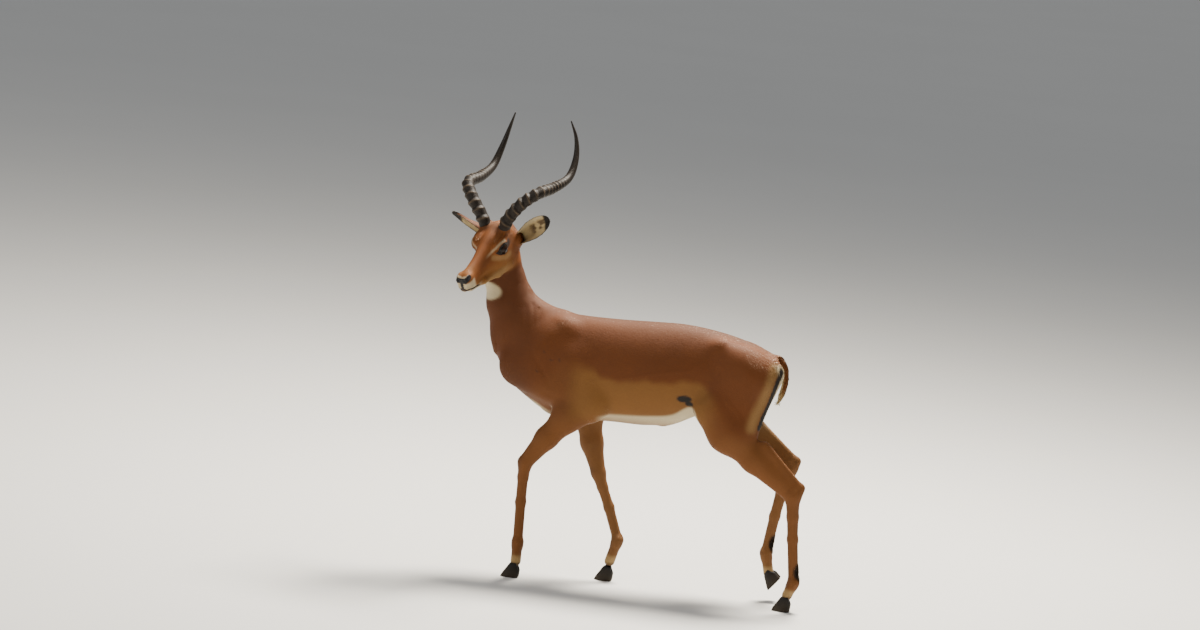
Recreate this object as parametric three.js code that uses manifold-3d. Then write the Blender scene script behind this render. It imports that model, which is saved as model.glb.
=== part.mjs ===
// Life-size impala ram, walking, with its head turned to its left.
// Millimetres, +Z up. The animal walks towards -X, so its left side is -Y. The floor is z = 0.
//
// The flesh is one implicit body: named bones and muscles, each a tapered limb, a lump or an oval
// hull, melted into each other. Rings of points are wrapped onto that body to make closed meshes,
// which are joined and then parted by thin cuts into head, neck, trunk and legs. Eyes, ears, horns,
// tail and hooves sit in sockets cut to their own shape, with the same thin clearance.
import * as THREE from "three";
import { mergeVertices } from "three/addons/utils/BufferGeometryUtils.js";
import Module from "manifold-3d";

const wasm = await Module();
wasm.setup();

// ---------------------------------------------------------------- driving dimensions
const GAP = 0.35; // clear space between neighbouring pieces
const SMALLEST_STEP = 1.8; // shape finer than this is smoothed out of the body
const LEFT = -1; // side of the body, as the sign of Y
const RIGHT = 1;
const SIDES = { left: LEFT, right: RIGHT };

// The head's own frame starts at the poll: forward to the nose, left, and up through the crown.
const HEAD = {
  poll: [-316, -6, 1084],
  yaw: 66, // degrees from straight ahead towards the animal's left
  pitch: 30, // nose down
  roll: 1,
};

// Trunk hull: [x, top, bottom, half width] at named places along the body.
const TRUNK = {
  breastPoint: [-306, 738, 700, 24],
  chestFront: [-280, 786, 664, 48],
  shoulder: [-235, 822, 608, 72],
  withers: [-170, 838, 545, 86],
  brisket: [-105, 841, 515, 93],
  girth: [-15, 840, 512, 99],
  ribs: [80, 842, 515, 106],
  belly: [180, 847, 517, 109],
  loin: [265, 850, 534, 103],
  flank: [345, 844, 584, 92],
  croup: [430, 829, 636, 82],
  rump: [510, 806, 680, 64],
  tailHead: [566, 782, 712, 30],
};

// Neck: [x, y, z, half depth], from the breast up to the skull.
const NECK = [
  [-186, 0, 695, 110],
  [-236, 0, 770, 92],
  [-281, 0, 850, 77],
  [-307, -2, 925, 63],
  [-319, -8, 985, 56],
  [-322, -16, 1040, 44],
];
const NECK_WIDTH = 0.72; // width over depth

// Forelegs: joint places [x, distance from the midline, z].
const FORELEG = {
  [LEFT]: {
    scapula: [-105, 44, 790],
    shoulder: [-232, 62, 662],
    elbow: [8, 82, 572],
    forearmTop: [-55, 82, 532],
    forearmMid: [-118, 78, 454],
    knee: [-177, 71, 368],
    cannonTop: [-180, 68, 320],
    cannon: [-180, 64, 240],
    fetlock: [-177, 61, 112],
    coronet: [-177, 60, 52],
    hoofTurn: 0,
  },
  [RIGHT]: {
    scapula: [-120, 44, 792],
    shoulder: [-205, 62, 660],
    elbow: [8, 82, 584],
    forearmTop: [-14, 82, 520],
    forearmMid: [8, 77, 428],
    knee: [39, 70, 336],
    cannonTop: [57, 67, 292],
    cannon: [84, 64, 232],
    fetlock: [122, 61, 132],
    coronet: [104, 60, 62],
    hoofTurn: 0,
  },
};

// Hind legs, in the same way.
const HINDLEG = {
  [LEFT]: {
    hip: [470, 56, 722],
    ischium: [545, 38, 728],
    stifle: [384, 82, 604],
    calf: [440, 82, 540],
    gaskin: [528, 77, 462],
    hock: [660, 70, 366],
    hockPoint: [681, 68, 394],
    cannonTop: [667, 68, 300],
    cannon: [674, 65, 230],
    fetlock: [691, 61, 92],
    coronet: [676, 60, 52],
    hoofTurn: 0,
  },
  [RIGHT]: {
    hip: [464, 56, 722],
    ischium: [541, 38, 728],
    stifle: [362, 82, 622],
    calf: [412, 82, 566],
    gaskin: [498, 76, 500],
    hock: [632, 69, 424],
    hockPoint: [652, 67, 451],
    cannonTop: [617, 67, 350],
    cannon: [604, 64, 270],
    fetlock: [589, 61, 150],
    coronet: [604, 60, 90],
    hoofTurn: 52,
  },
};

// Tail: [x, z, radius] down the midline.
const TAIL = [
  [545, 778, 18],
  [572, 776, 15],
  [591, 745, 12],
  [595, 705, 12],
  [588, 668, 11],
  [579, 640, 5],
];

// Head hull: [forward, top, bottom, half width] in the head's own frame.
const SKULL = {
  poll: [-8, 22, -36, 30],
  braincase: [26, 44, -64, 44],
  hornBase: [58, 50, -86, 46],
  orbit: [104, 42, -94, 44],
  cheek: [142, 28, -87, 34],
  bridge: [182, 15, -75, 26],
  muzzle: [224, 6, -67, 24],
  nostrils: [258, 2, -64, 25],
  nose: [280, -8, -56, 17],
};

// Lower jaw, one side: [forward, from the midline, up, radius] in the head's own frame.
const JAW = [
  [254, 8, -52, 13],
  [196, 15, -64, 13],
  [130, 24, -78, 16],
  [78, 30, -76, 20],
];

const EYE = { place: [105, 44, -1], radius: 19 };

// Horn: handles of its centre line in the head's own frame, from the skull to the tip.
const HORN = {
  line: [
    [58, 34, 40],
    [48, 48, 68],
    [18, 92, 114],
    [-24, 126, 128],
    [-100, 133, 102],
    [-182, 140, 90],
    [-244, 136, 122],
    [-284, 123, 167],
    [-305, 103, 214],
  ],
  rings: 32,
  sides: 8,
  baseRadius: 20,
  tipRadius: 2,
  ridgePitch: 33, // between the wide ridges of the lower half
  ridgeHeight: 1.9,
};

// Ear: a leaf rolled into a cup. `twist` turns its opening down and outwards.
const EAR = {
  root: { left: [8, 42, -32], right: [14, 42, -46] },
  tip: { left: [4, 166, 62], right: [38, 166, 52] },
  width: 60,
  wall: 5,
  rimForward: 12, // the rims, ahead of the line from root to tip at the root
  twist: { left: -8, right: 28 },
};

// One claw of a cloven hoof.
const CLAW = {
  front: 38, // toe ahead of the coronet's centre
  back: 20,
  halfWidth: 10.5,
  height: 48,
  heelHeight: 26,
  spread: 11.6, // from the foot's middle to the claw's middle
  lean: 12, // how far the wall leans back over its height
};

// ---------------------------------------------------------------- small helpers
const V = (p) => new THREE.Vector3(...p);
const lerp = THREE.MathUtils.lerp;
const clamp = THREE.MathUtils.clamp;
const rad = THREE.MathUtils.degToRad;

function headFrame() {
  const [yaw, pitch] = [rad(HEAD.yaw), rad(HEAD.pitch)];
  const forward = new THREE.Vector3(
    -Math.cos(yaw) * Math.cos(pitch),
    -Math.sin(yaw) * Math.cos(pitch),
    -Math.sin(pitch),
  );
  const left = new THREE.Vector3(0, 0, 1).cross(forward).normalize();
  const up = forward.clone().cross(left);
  left.applyAxisAngle(forward, rad(HEAD.roll));
  up.applyAxisAngle(forward, rad(HEAD.roll));
  return new THREE.Matrix4().makeBasis(forward, left, up).setPosition(V(HEAD.poll));
}
const headToBody = headFrame();
const bodyToHead = headToBody.clone().invert();
const onHead = (p, side = LEFT) => V([p[0], -side * p[1], p[2]]).applyMatrix4(headToBody);
const outward = (p, side) => [p[0], side * p[1], p[2]];
const between = (a, b, t) => a.map((value, k) => lerp(value, b[k], t));

// A smooth line through rows of [x, ...values], in order of x.
function profile(rows) {
  const last = rows.length - 1;
  return (x) => {
    const i = clamp(rows.findIndex((row) => row[0] > x) - 1, 0, last - 1);
    const k = x >= rows[last][0] ? last - 1 : i;
    const [a, b] = [rows[k], rows[k + 1]];
    const [before, after] = [rows[Math.max(k - 1, 0)], rows[Math.min(k + 2, last)]];
    const span = b[0] - a[0];
    const t = clamp((x - a[0]) / span, 0, 1);
    const [t2, t3] = [t * t, t * t * t];
    return a.slice(1).map((value, n) => {
      const slopeA = ((b[n + 1] - before[n + 1]) / (b[0] - before[0])) * span;
      const slopeB = ((after[n + 1] - value) / (after[0] - a[0])) * span;
      return (
        (2 * t3 - 3 * t2 + 1) * value +
        (t3 - 2 * t2 + t) * slopeA +
        (3 * t2 - 2 * t3) * b[n + 1] +
        (t3 - t2) * slopeB
      );
    });
  };
}

// ---------------------------------------------------------------- implicit flesh
// A tapered limb from a to b. `flat` is its width over its depth, across Y.
function limb(a, ra, b, rb, flat = 1) {
  const [from, along] = [V(a), V(b).sub(V(a))];
  const length2 = along.lengthSq();
  const d = new THREE.Vector3();
  return (p) => {
    d.subVectors(p, from);
    const t = clamp(d.dot(along) / length2, 0, 1);
    d.addScaledVector(along, -t);
    d.y /= flat;
    return (d.length() - lerp(ra, rb, t)) * (1 + flat) * 0.5;
  };
}

// A hull with oval sections along X. `pear` narrows its top. `local` turns it into a frame.
function hull(rows, pear, local = null) {
  const shape = profile(rows);
  const [first, last] = [rows[0][0], rows[rows.length - 1][0]];
  const q = new THREE.Vector3();
  return (p) => {
    q.copy(p);
    if (local) q.applyMatrix4(local);
    const x = clamp(q.x, first, last);
    const [top, bottom, width] = shape(x);
    const half = (top - bottom) / 2;
    const v = (q.z - (top + bottom) / 2) / half;
    const y = q.y / (width * (1 - pear * clamp(v, -1, 1)));
    const ratio = Math.hypot(y, v);
    const slope = Math.hypot(y / width, v / half);
    const side = slope < 1e-9 ? -Math.min(width, half) : ((ratio - 1) * ratio) / slope;
    const beyond = Math.abs(q.x - x);
    return beyond > 0 ? Math.hypot(Math.max(side, 0), beyond) : side;
  };
}

// A lump of muscle or bone: an ellipsoid with half sizes r.
function lump(centre, r, local = null) {
  const q = new THREE.Vector3();
  const small = Math.min(...r);
  return (p) => {
    q.copy(p);
    if (local) q.applyMatrix4(local);
    q.set((q.x - centre[0]) / r[0], (q.y - centre[1]) / r[1], (q.z - centre[2]) / r[2]);
    return (q.length() - 1) * small;
  };
}

// Two distances melted into each other over `soft` millimetres.
function melt(a, b, soft) {
  const h = Math.max(soft - Math.abs(a - b), 0);
  return Math.min(a, b) - (h * h) / (4 * soft);
}

// A body of parts, each [distance, softness].
const body = (parts) => (p) =>
  parts.reduce((sum, [distance, soft]) => melt(sum, distance(p), soft), 1e3);

function neckParts() {
  return NECK.slice(1).map((b, i) => {
    const a = NECK[i];
    return [limb(a.slice(0, 3), a[3], b.slice(0, 3), b[3], NECK_WIDTH), i === 0 ? 40 : 14];
  });
}

function trunkParts() {
  return [
    [hull(Object.values(TRUNK), 0.1), 1],
    [limb([-225, 0, 826], 22, [-120, 0, 812], 30, 0.8), 36], // withers
    [limb([-232, 0, 676], 34, [-115, 0, 562], 42, 0.9), 26], // breastbone
    [limb([232, 0, 540], 14, [385, 0, 606], 16), 26], // sheath
    [limb([455, 0, 640], 24, [452, 0, 600], 25), 14], // scrotum
  ];
}

function shoulderParts(side) {
  const j = FORELEG[side];
  const at = (p) => outward(p, side);
  return [
    [limb(at(j.scapula), 34, at(j.shoulder), 46, 0.66), 40],
    [limb(at(j.shoulder), 46, at(j.elbow), 46, 0.6), 36],
    [limb(at([-62, 62, 680]), 62, at(j.elbow), 38, 0.55), 36],
  ];
}

function forelegParts(side) {
  const j = FORELEG[side];
  const at = (p) => outward(p, side);
  return [
    [limb(at(j.elbow), 34, at(j.forearmTop), 46, 0.62), 30],
    [limb(at(j.forearmTop), 46, at(j.forearmMid), 36, 0.66), 24],
    [limb(at(j.forearmMid), 36, at(j.knee), 24, 0.74), 14],
    [limb(at(j.knee), 24.5, at(j.cannonTop), 18, 0.84), 8],
    [limb(at(j.cannonTop), 18, at(j.cannon), 17.5, 0.74), 8],
    [limb(at(j.cannon), 17.5, at(between(j.cannon, j.fetlock, 0.85)), 17, 0.76), 8],
    [limb(at(j.fetlock), 19.5, at(between(j.fetlock, j.coronet, 0.15)), 19, 0.96), 10],
    [limb(at(j.fetlock), 17, at(j.coronet), 17.5, 1.08), 10],
  ];
}

function thighParts(side) {
  const j = HINDLEG[side];
  const at = (p) => outward(p, side);
  return [
    [limb(at([392, 56, 798]), 24, at(j.hip), 50, 0.7), 40],
    [limb(at(j.hip), 74, at(j.stifle), 50, 0.56), 40],
    [limb(at(j.hip), 66, at(j.ischium), 40, 0.64), 36],
    [limb(at([498, 60, 690]), 62, at(j.calf), 56, 0.58), 36],
    [limb(at(j.ischium), 38, at(between(j.calf, j.hock, 0.28).map((v, i) => v + [0, 0, 66][i])), 37, 0.6), 26],
  ];
}

function hindlegParts(side) {
  const j = HINDLEG[side];
  const at = (p) => outward(p, side);
  const tendonTop = between(j.calf, j.gaskin, 0.95).map((v, i) => v + [36, -3, 44][i]);
  return [
    [limb(at(j.stifle), 48, at(j.calf), 56, 0.62), 30],
    [limb(at(j.calf), 56, at(j.gaskin), 38, 0.6), 24],
    [limb(at(j.gaskin), 38, at(j.hock), 25, 0.62), 16],
    [limb(at(tendonTop), 22, at(j.hockPoint), 10, 0.62), 20],
    [limb(at(j.hockPoint), 12, at(j.hock), 24, 0.76), 12],
    [limb(at(j.hock), 25, at(j.cannonTop), 19.5, 0.8), 10],
    [limb(at(j.cannonTop), 19.5, at(j.cannon), 18, 0.72), 8],
    [limb(at(j.cannon), 18, at(between(j.cannon, j.fetlock, 0.85)), 17.5, 0.74), 8],
    [limb(at(j.fetlock), 20, at(between(j.fetlock, j.coronet, 0.2)), 19, 0.94), 10],
    [limb(at(j.fetlock), 17, at(j.coronet), 17.5, 1.08), 10],
  ];
}

function headParts() {
  const local = bodyToHead;
  const parts = [[hull(Object.values(SKULL), 0.1, local), 22]];
  for (const side of [1, -1]) {
    parts.push([lump([102, side * 38, 3], [28, 15, 22], local), 12]); // eye socket
    parts.push([lump([92, side * 36, 22], [34, 17, 19], local), 14]); // brow
    parts.push([lump([72, side * 28, -56], [50, 17, 38], local), 20]); // jaw muscle
    parts.push([lump([54, side * 33, 38], [24, 24, 16], local), 12]); // horn seat
    parts.push([lump([8, side * 40, -32], [22, 18, 28], local), 14]); // ear root
    for (let i = 0; i + 1 < JAW.length; i++) {
      const [a, b] = [JAW[i], JAW[i + 1]].map(([x, y, z]) => onHead([x, side * y, z]).toArray());
      parts.push([limb(a, JAW[i][3], b, JAW[i + 1][3]), 10]);
    }
    parts.push([lump([262, side * 15, -14], [22, 11, 16], local), 8]); // nostril wing
  }
  return parts;
}

// The barrel is the trunk with its shoulders and thighs; the flesh is the whole animal.
const barrelParts = [...trunkParts(), ...neckParts()];
const limbParts = [];
for (const side of [LEFT, RIGHT]) {
  barrelParts.push(...shoulderParts(side), ...thighParts(side));
  limbParts.push(...forelegParts(side), ...hindlegParts(side));
}
const barrel = body(barrelParts);
const flesh = body([...barrelParts, ...headParts(), ...limbParts]);

// ---------------------------------------------------------------- meshes and solids
// A closed mesh from rings of points, each ring in the same order. An end with a point of its own
// is closed as a fan; one without is a folded strip, closed between its facing points.
function ringMesh(rings, start = null, end = null) {
  const sides = rings[0].length;
  const points = rings.flat();
  const index = [];
  const at = (ring, side) => ring * sides + (side % sides);
  for (let s = 0; s < sides; s++) {
    for (let r = 0; r + 1 < rings.length; r++) {
      index.push(at(r, s), at(r, s + 1), at(r + 1, s + 1));
      index.push(at(r, s), at(r + 1, s + 1), at(r + 1, s));
    }
  }
  for (const [ring, point] of [[0, start], [rings.length - 1, end]]) {
    const face = (a, b, c) => index.push(...(ring === 0 ? [a, b, c] : [c, b, a]));
    if (point) {
      points.push(point);
      for (let s = 0; s < sides; s++) face(points.length - 1, at(ring, s + 1), at(ring, s));
    } else {
      for (let k = 0; k < sides / 2 - 1; k++) {
        face(at(ring, k + 1), at(ring, k), at(ring, sides - 1 - k));
        face(at(ring, k + 1), at(ring, sides - 1 - k), at(ring, sides - 2 - k));
      }
    }
  }
  const geometry = new THREE.BufferGeometry();
  const flat = points.flatMap((p) => p.toArray());
  geometry.setAttribute("position", new THREE.Float32BufferAttribute(flat, 3));
  geometry.setIndex(index);
  return geometry;
}

// A three.js geometry as a manifold-3d solid, turned right side out.
function solid(geometry, matrix = null) {
  const bare = geometry.clone();
  if (matrix) bare.applyMatrix4(matrix);
  for (const name of Object.keys(bare.attributes)) {
    if (name !== "position") bare.deleteAttribute(name);
  }
  const merged = mergeVertices(bare, 1e-4);
  const triVerts = new Uint32Array(merged.index.array);
  const vertProperties = merged.attributes.position.array;
  const made = new wasm.Manifold(new wasm.Mesh({ numProp: 3, vertProperties, triVerts }));
  if (made.volume() > 0) return made;
  triVerts.reverse();
  return new wasm.Manifold(new wasm.Mesh({ numProp: 3, vertProperties, triVerts }));
}

// How far along `ray` from `centre` the flesh ends, and at most `reach`.
function skinDistance(flesh, centre, ray, reach) {
  const p = new THREE.Vector3();
  const depth = (t) => flesh(p.copy(centre).addScaledVector(ray, t));
  const step = 5;
  let inside = 0;
  while (inside + step < reach && depth(inside + step) < 0) inside += step;
  let outside = Math.min(inside + step, reach);
  if (depth(outside) < 0) return reach;
  for (let i = 0; i < 12; i++) {
    const middle = (inside + outside) / 2;
    if (depth(middle) < 0) inside = middle;
    else outside = middle;
  }
  return Math.max(inside, 1.5);
}

// Rings wrapped onto the flesh along a line of centres. `reach` limits a ring at a share of the
// line, and `crowd` draws the rings towards both ends.
function wrap(flesh, centres, { rings, sides, reach, across = new THREE.Vector3(0, 1, 0), crowd = 0 }) {
  const line = new THREE.CatmullRomCurve3(centres, false, "centripetal");
  const made = [];
  const ends = [];
  for (let r = 0; r < rings; r++) {
    const even = r / (rings - 1);
    const share = lerp(even, (1 - Math.cos(Math.PI * even)) / 2, crowd);
    const centre = line.getPointAt(share);
    const forward = line.getTangentAt(share);
    const side = across.clone().addScaledVector(forward, -across.dot(forward)).normalize();
    const up = forward.clone().cross(side);
    const far = reach(share);
    const ring = [];
    for (let s = 0; s < sides; s++) {
      const angle = (2 * Math.PI * (s + 0.5)) / sides;
      const ray = side.clone().multiplyScalar(Math.cos(angle));
      ray.addScaledVector(up, Math.sin(angle));
      ring.push(centre.clone().addScaledVector(ray, skinDistance(flesh, centre, ray, far)));
    }
    made.push(ring);
    if (r === 0 || r === rings - 1) {
      const out = forward.clone().multiplyScalar(r === 0 ? -1 : 1);
      ends.push(centre.clone().addScaledVector(out, skinDistance(flesh, centre, out, Math.min(30, reach(share)))));
    }
  }
  return solid(ringMesh(made, ends[0], ends[1]));
}

// ---------------------------------------------------------------- the body in one piece
// How far each wrap may reach: [share of its line, reach]. Where two wraps meet, one starts
// narrow, well inside the other, and opens to the full width beyond its surface.
const NECK_REACH = [[0, 45], [0.17, 56], [0.3, 130], [0.75, 90], [0.86, 56], [1, 34]];
const HEAD_REACH = [[0, 84], [1, 50]];
const FORELEG_REACH = [[0, 22], [0.06, 24], [0.13, 62], [0.3, 50], [0.5, 30], [1, 27]];
const HINDLEG_REACH = [[0, 24], [0.05, 34], [0.09, 124], [0.3, 118], [0.45, 50], [0.6, 36], [1, 27]];
const TRUNK_REACH = [[0, 190], [0.72, 190], [0.8, 165], [1, 165]];
const throughout = (rows) => {
  const at = profile(rows);
  return (share) => at(share)[0];
};

function trunkSolid() {
  const line = [[-304, 706], [-230, 705], [-100, 680], [100, 680], [300, 700], [450, 735], [574, 744]];
  const centres = line.map(([x, z]) => V([x, 0, z]));
  return wrap(barrel, centres, { rings: 30, sides: 24, reach: throughout(TRUNK_REACH), crowd: 0.5 });
}

function neckSolid() {
  const centres = NECK.map((row) => V(row.slice(0, 3)));
  return wrap(flesh, centres, { rings: 14, sides: 16, reach: throughout(NECK_REACH) });
}

function headSolid() {
  const line = [[4, -6], [60, -12], [120, -20], [180, -24], [230, -28], [274, -30]];
  const across = new THREE.Vector3(0, 1, 0).transformDirection(headToBody);
  const centres = line.map(([x, z]) => onHead([x, 0, z]));
  return wrap(flesh, centres, { rings: 23, sides: 20, reach: throughout(HEAD_REACH), across });
}

function legSolid(side, joints, start, names, reach) {
  const line = [start, ...names.map((name) => joints[name])].map((p) => V(outward(p, side)));
  return wrap(flesh, line, { rings: 25, sides: 10, reach: throughout(reach) });
}

const LOWER = ["cannonTop", "cannon", "fetlock", "coronet"];

function wholeSolid() {
  let made = trunkSolid().add(neckSolid()).add(headSolid());
  for (const side of [LEFT, RIGHT]) {
    const fore = ["elbow", "forearmTop", "forearmMid", "knee", ...LOWER];
    const hind = ["calf", "gaskin", "hock", ...LOWER];
    made = made.add(legSolid(side, FORELEG[side], [-20, 62, 650], fore, FORELEG_REACH));
    made = made.add(legSolid(side, HINDLEG[side], [486, 54, 712], hind, HINDLEG_REACH));
  }
  return made;
}

// ---------------------------------------------------------------- eyes, ears, horns, tail, hooves
// Each takes `fat`, the clearance to add all round when it is used to cut its own socket.
function eyeSolid(side, fat = 0) {
  const ball = new THREE.SphereGeometry(EYE.radius + fat, 12, 9);
  return solid(ball, new THREE.Matrix4().setPosition(onHead(EYE.place, side)));
}

// The horn's radius at share t of its length: a long taper, with wide ridges and then tight ones.
function hornRadius(t, length) {
  const taper = lerp(HORN.baseRadius, HORN.tipRadius, t ** 2.2);
  const reached = t * length;
  const wave = 0.5 + 0.5 * Math.cos((2 * Math.PI * reached) / HORN.ridgePitch);
  const ridged = 1 - THREE.MathUtils.smoothstep(t, 0.45, 0.6);
  return taper + HORN.ridgeHeight * ridged * wave * wave;
}

function hornSolid(side, fat = 0) {
  const handles = HORN.line.map((p) => onHead(p, side));
  const line = new THREE.CatmullRomCurve3(handles, false, "centripetal");
  const frames = line.computeFrenetFrames(HORN.rings, false);
  const length = line.getLength();
  const rings = [];
  for (let r = 0; r <= HORN.rings; r++) {
    const t = r / HORN.rings;
    const centre = line.getPointAt(t).addScaledVector(frames.tangents[r], r === 0 ? -fat : 0);
    const radius = hornRadius(t, length) + fat;
    rings.push(
      Array.from({ length: HORN.sides }, (_, s) => {
        const angle = (2 * Math.PI * s) / HORN.sides;
        return centre
          .clone()
          .addScaledVector(frames.normals[r], radius * Math.cos(angle))
          .addScaledVector(frames.binormals[r], radius * Math.sin(angle));
      }),
    );
  }
  const start = rings[0][0].clone().lerp(rings[0][HORN.sides / 2], 0.5);
  const tip = line.getPointAt(1).addScaledVector(frames.tangents[HORN.rings], 2 + fat);
  return solid(ringMesh(rings, start, tip));
}

// A leaf-shaped cup: at each place along the ear, an arc with a wall, open towards `opening`.
function earSolid(side, fat = 0) {
  const rows = 11;
  const arc = 6;
  const name = side === LEFT ? "left" : "right";
  const [root, tip] = [onHead(EAR.root[name], side), onHead(EAR.tip[name], side)];
  const axis = tip.clone().sub(root).normalize();
  const forward = new THREE.Vector3(1, 0, 0).transformDirection(headToBody);
  const opening = forward.addScaledVector(axis, -forward.dot(axis)).normalize();
  opening.applyAxisAngle(axis, -side * rad(EAR.twist[name]));
  const across = axis.clone().cross(opening);
  const rings = [];
  for (let r = 0; r < rows; r++) {
    const t = r / (rows - 1);
    const leaf = Math.sqrt(clamp(1 - ((t - 0.58) / 0.46) ** 2, 0, 1));
    const half = (EAR.width / 2) * Math.max(lerp(0.55, 1, clamp(t / 0.45, 0, 1)) * (t > 0.58 ? leaf : 1), 0.1);
    const bend = rad(lerp(128, 46, clamp(t * 1.5, 0, 1)));
    const radius = half / Math.sin(Math.min(bend, Math.PI / 2));
    const past = r === 0 ? -fat : r === rows - 1 ? fat : 0;
    const centre = root.clone().lerp(tip, t).addScaledVector(axis, past);
    centre.addScaledVector(opening, lerp(EAR.rimForward, 0, t) + radius * Math.cos(bend));
    const wall = (EAR.wall * lerp(1.2, 0.6, t)) / 2 + fat;
    const point = (k, spread, out) => {
      const angle = lerp(-spread, spread, k / arc);
      const [across1, opening1] = [Math.sin(angle), -Math.cos(angle)];
      const slip = k === 0 ? -fat : k === arc ? fat : 0; // clearance past the rims
      return centre
        .clone()
        .addScaledVector(opening, (radius + out) * opening1 + slip * across1)
        .addScaledVector(across, (radius + out) * across1 - slip * opening1);
    };
    const ring = [];
    for (let k = 0; k <= arc; k++) ring.push(point(k, bend, wall));
    for (let k = arc; k >= 0; k--) ring.push(point(k, bend * 0.97, -wall));
    rings.push(ring);
  }
  return solid(ringMesh(rings));
}

function tailSolid(fat = 0) {
  const line = new THREE.CatmullRomCurve3(TAIL.map(([x, z]) => V([x, 0, z])));
  const count = 12;
  const sides = 8;
  const rings = [];
  for (let r = 0; r <= count; r++) {
    const t = r / count;
    const centre = line.getPoint(t);
    const tangent = line.getTangent(t);
    const up = tangent.clone().cross(new THREE.Vector3(0, 1, 0));
    const radius = profile(TAIL.map((row, i) => [i / (TAIL.length - 1), row[2]]))(t)[0] + fat;
    rings.push(
      Array.from({ length: sides }, (_, s) => {
        const angle = (2 * Math.PI * s) / sides;
        return centre
          .clone()
          .add(V([0, radius * Math.cos(angle), 0]))
          .addScaledVector(up, 0.75 * radius * Math.sin(angle));
      }),
    );
  }
  const end = line.getPoint(1).addScaledVector(line.getTangent(1), 7);
  return solid(ringMesh(rings, line.getPoint(0).addScaledVector(line.getTangent(0), -1), end));
}

// One claw, with its flat sole at z = 0 and its toe towards -X, at a foot's coronet.
function clawSolid(side, joints, place, fat = 0) {
  const around = 10;
  const levels = [0, 0.14, 1];
  const rings = levels.map((level) =>
    Array.from({ length: around }, (_, s) => {
      const angle = (-2 * Math.PI * s) / around;
      const [c, n] = [Math.cos(angle), Math.sin(angle)];
      const reach = (c > 0 ? CLAW.front : CLAW.back) * lerp(1, 0.52, level) + fat;
      const narrow = c > 0 ? 1 - 0.62 * c ** 3 : 1;
      const width = CLAW.halfWidth * narrow * lerp(1, 0.86, level) + fat;
      const swell = level === 0 ? 0.94 : 1;
      const top = c > 0 ? CLAW.height : lerp(CLAW.height, CLAW.heelHeight, -c);
      const x = -reach * c * swell + CLAW.lean * level;
      return V([x, width * n * swell, level * (top + fat)]);
    }),
  );
  const middle = V([0, 0, 0]);
  const crown = V([CLAW.lean, 0, CLAW.height * 0.8 + fat]);
  const lift = (joints.coronet[2] - 52) * (joints.hoofTurn ? 1 : 0);
  const matrix = new THREE.Matrix4().makeTranslation(
    joints.coronet[0] - CLAW.lean * 0.6,
    side * joints.coronet[1] + place * CLAW.spread,
    lift > 0 ? joints.coronet[2] : 0,
  );
  if (joints.hoofTurn) {
    matrix.multiply(new THREE.Matrix4().makeRotationY(rad(-joints.hoofTurn)));
    matrix.multiply(new THREE.Matrix4().makeTranslation(0, 0, -44));
  }
  return solid(ringMesh(rings, middle, crown), matrix);
}

// ---------------------------------------------------------------- cuts between the named parts
const SPAN = 3000;

// All the space on the side of a plane that its normal points to.
function halfSpace(point, normal, back = 0) {
  const box = new THREE.BoxGeometry(SPAN, SPAN, SPAN).translate(0, 0, SPAN / 2 - back);
  const turn = new THREE.Quaternion().setFromUnitVectors(
    new THREE.Vector3(0, 0, 1),
    V(normal).normalize(),
  );
  return solid(box, new THREE.Matrix4().compose(V(point), turn, V([1, 1, 1])));
}

// The space of one leg: below a line in XZ, on one side of the body, clear of the midline.
function legSpace(side, { from, to, front, inner }, fat = 0) {
  const shape = new THREE.Shape([
    new THREE.Vector2(from[0] - fat, from[1] + fat),
    new THREE.Vector2(to[0] + fat, to[1] + fat),
    new THREE.Vector2(to[0] + 300, -100),
    new THREE.Vector2(front - fat, -100),
  ]);
  const width = 300;
  const block = new THREE.ExtrudeGeometry(shape, { depth: width, bevelEnabled: false });
  block.rotateX(Math.PI / 2); // shape's Y becomes Z, depth runs to -Y
  block.translate(0, side === LEFT ? -inner + fat : inner - fat + width, 0);
  return solid(block);
}

const CUTS = {
  foreleg: { from: [-270, 578], to: [58, 590], front: -420, inner: 46 },
  hindleg: { from: [316, 616], to: [602, 668], front: 296, inner: 18 },
  head: { point: [-322, -40, 985], normal: [-0.25, -0.55, 0.8] },
  neck: { point: [-250, 0, 766], normal: [-0.707, 0, 0.707] },
};

// ---------------------------------------------------------------- materials and nodes
const materials = {
  hide: new THREE.MeshStandardMaterial({ color: 0x8a4a22, roughness: 0.75, metalness: 0 }),
  paleHide: new THREE.MeshStandardMaterial({ color: 0xa9764a, roughness: 0.8, metalness: 0 }),
  horn: new THREE.MeshStandardMaterial({ color: 0x2a211c, roughness: 0.55, metalness: 0 }),
  hoof: new THREE.MeshStandardMaterial({ color: 0x16120f, roughness: 0.45, metalness: 0 }),
  eye: new THREE.MeshStandardMaterial({ color: 0x0c0806, roughness: 0.08, metalness: 0 }),
};

const group = new THREE.Group();

// Adds the largest body of a solid, without the crumbs that a cut can leave.
function addNode(name, made, material) {
  const main = made.decompose().reduce((best, one) => (one.volume() > best.volume() ? one : best));
  const mesh = main.getMesh();
  const geometry = new THREE.BufferGeometry();
  geometry.setAttribute("position", new THREE.BufferAttribute(mesh.vertProperties, 3));
  geometry.setIndex(new THREE.BufferAttribute(mesh.triVerts, 1));
  geometry.computeVertexNormals();
  const node = new THREE.Mesh(geometry, material);
  node.name = name;
  group.add(node);
}

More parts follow.
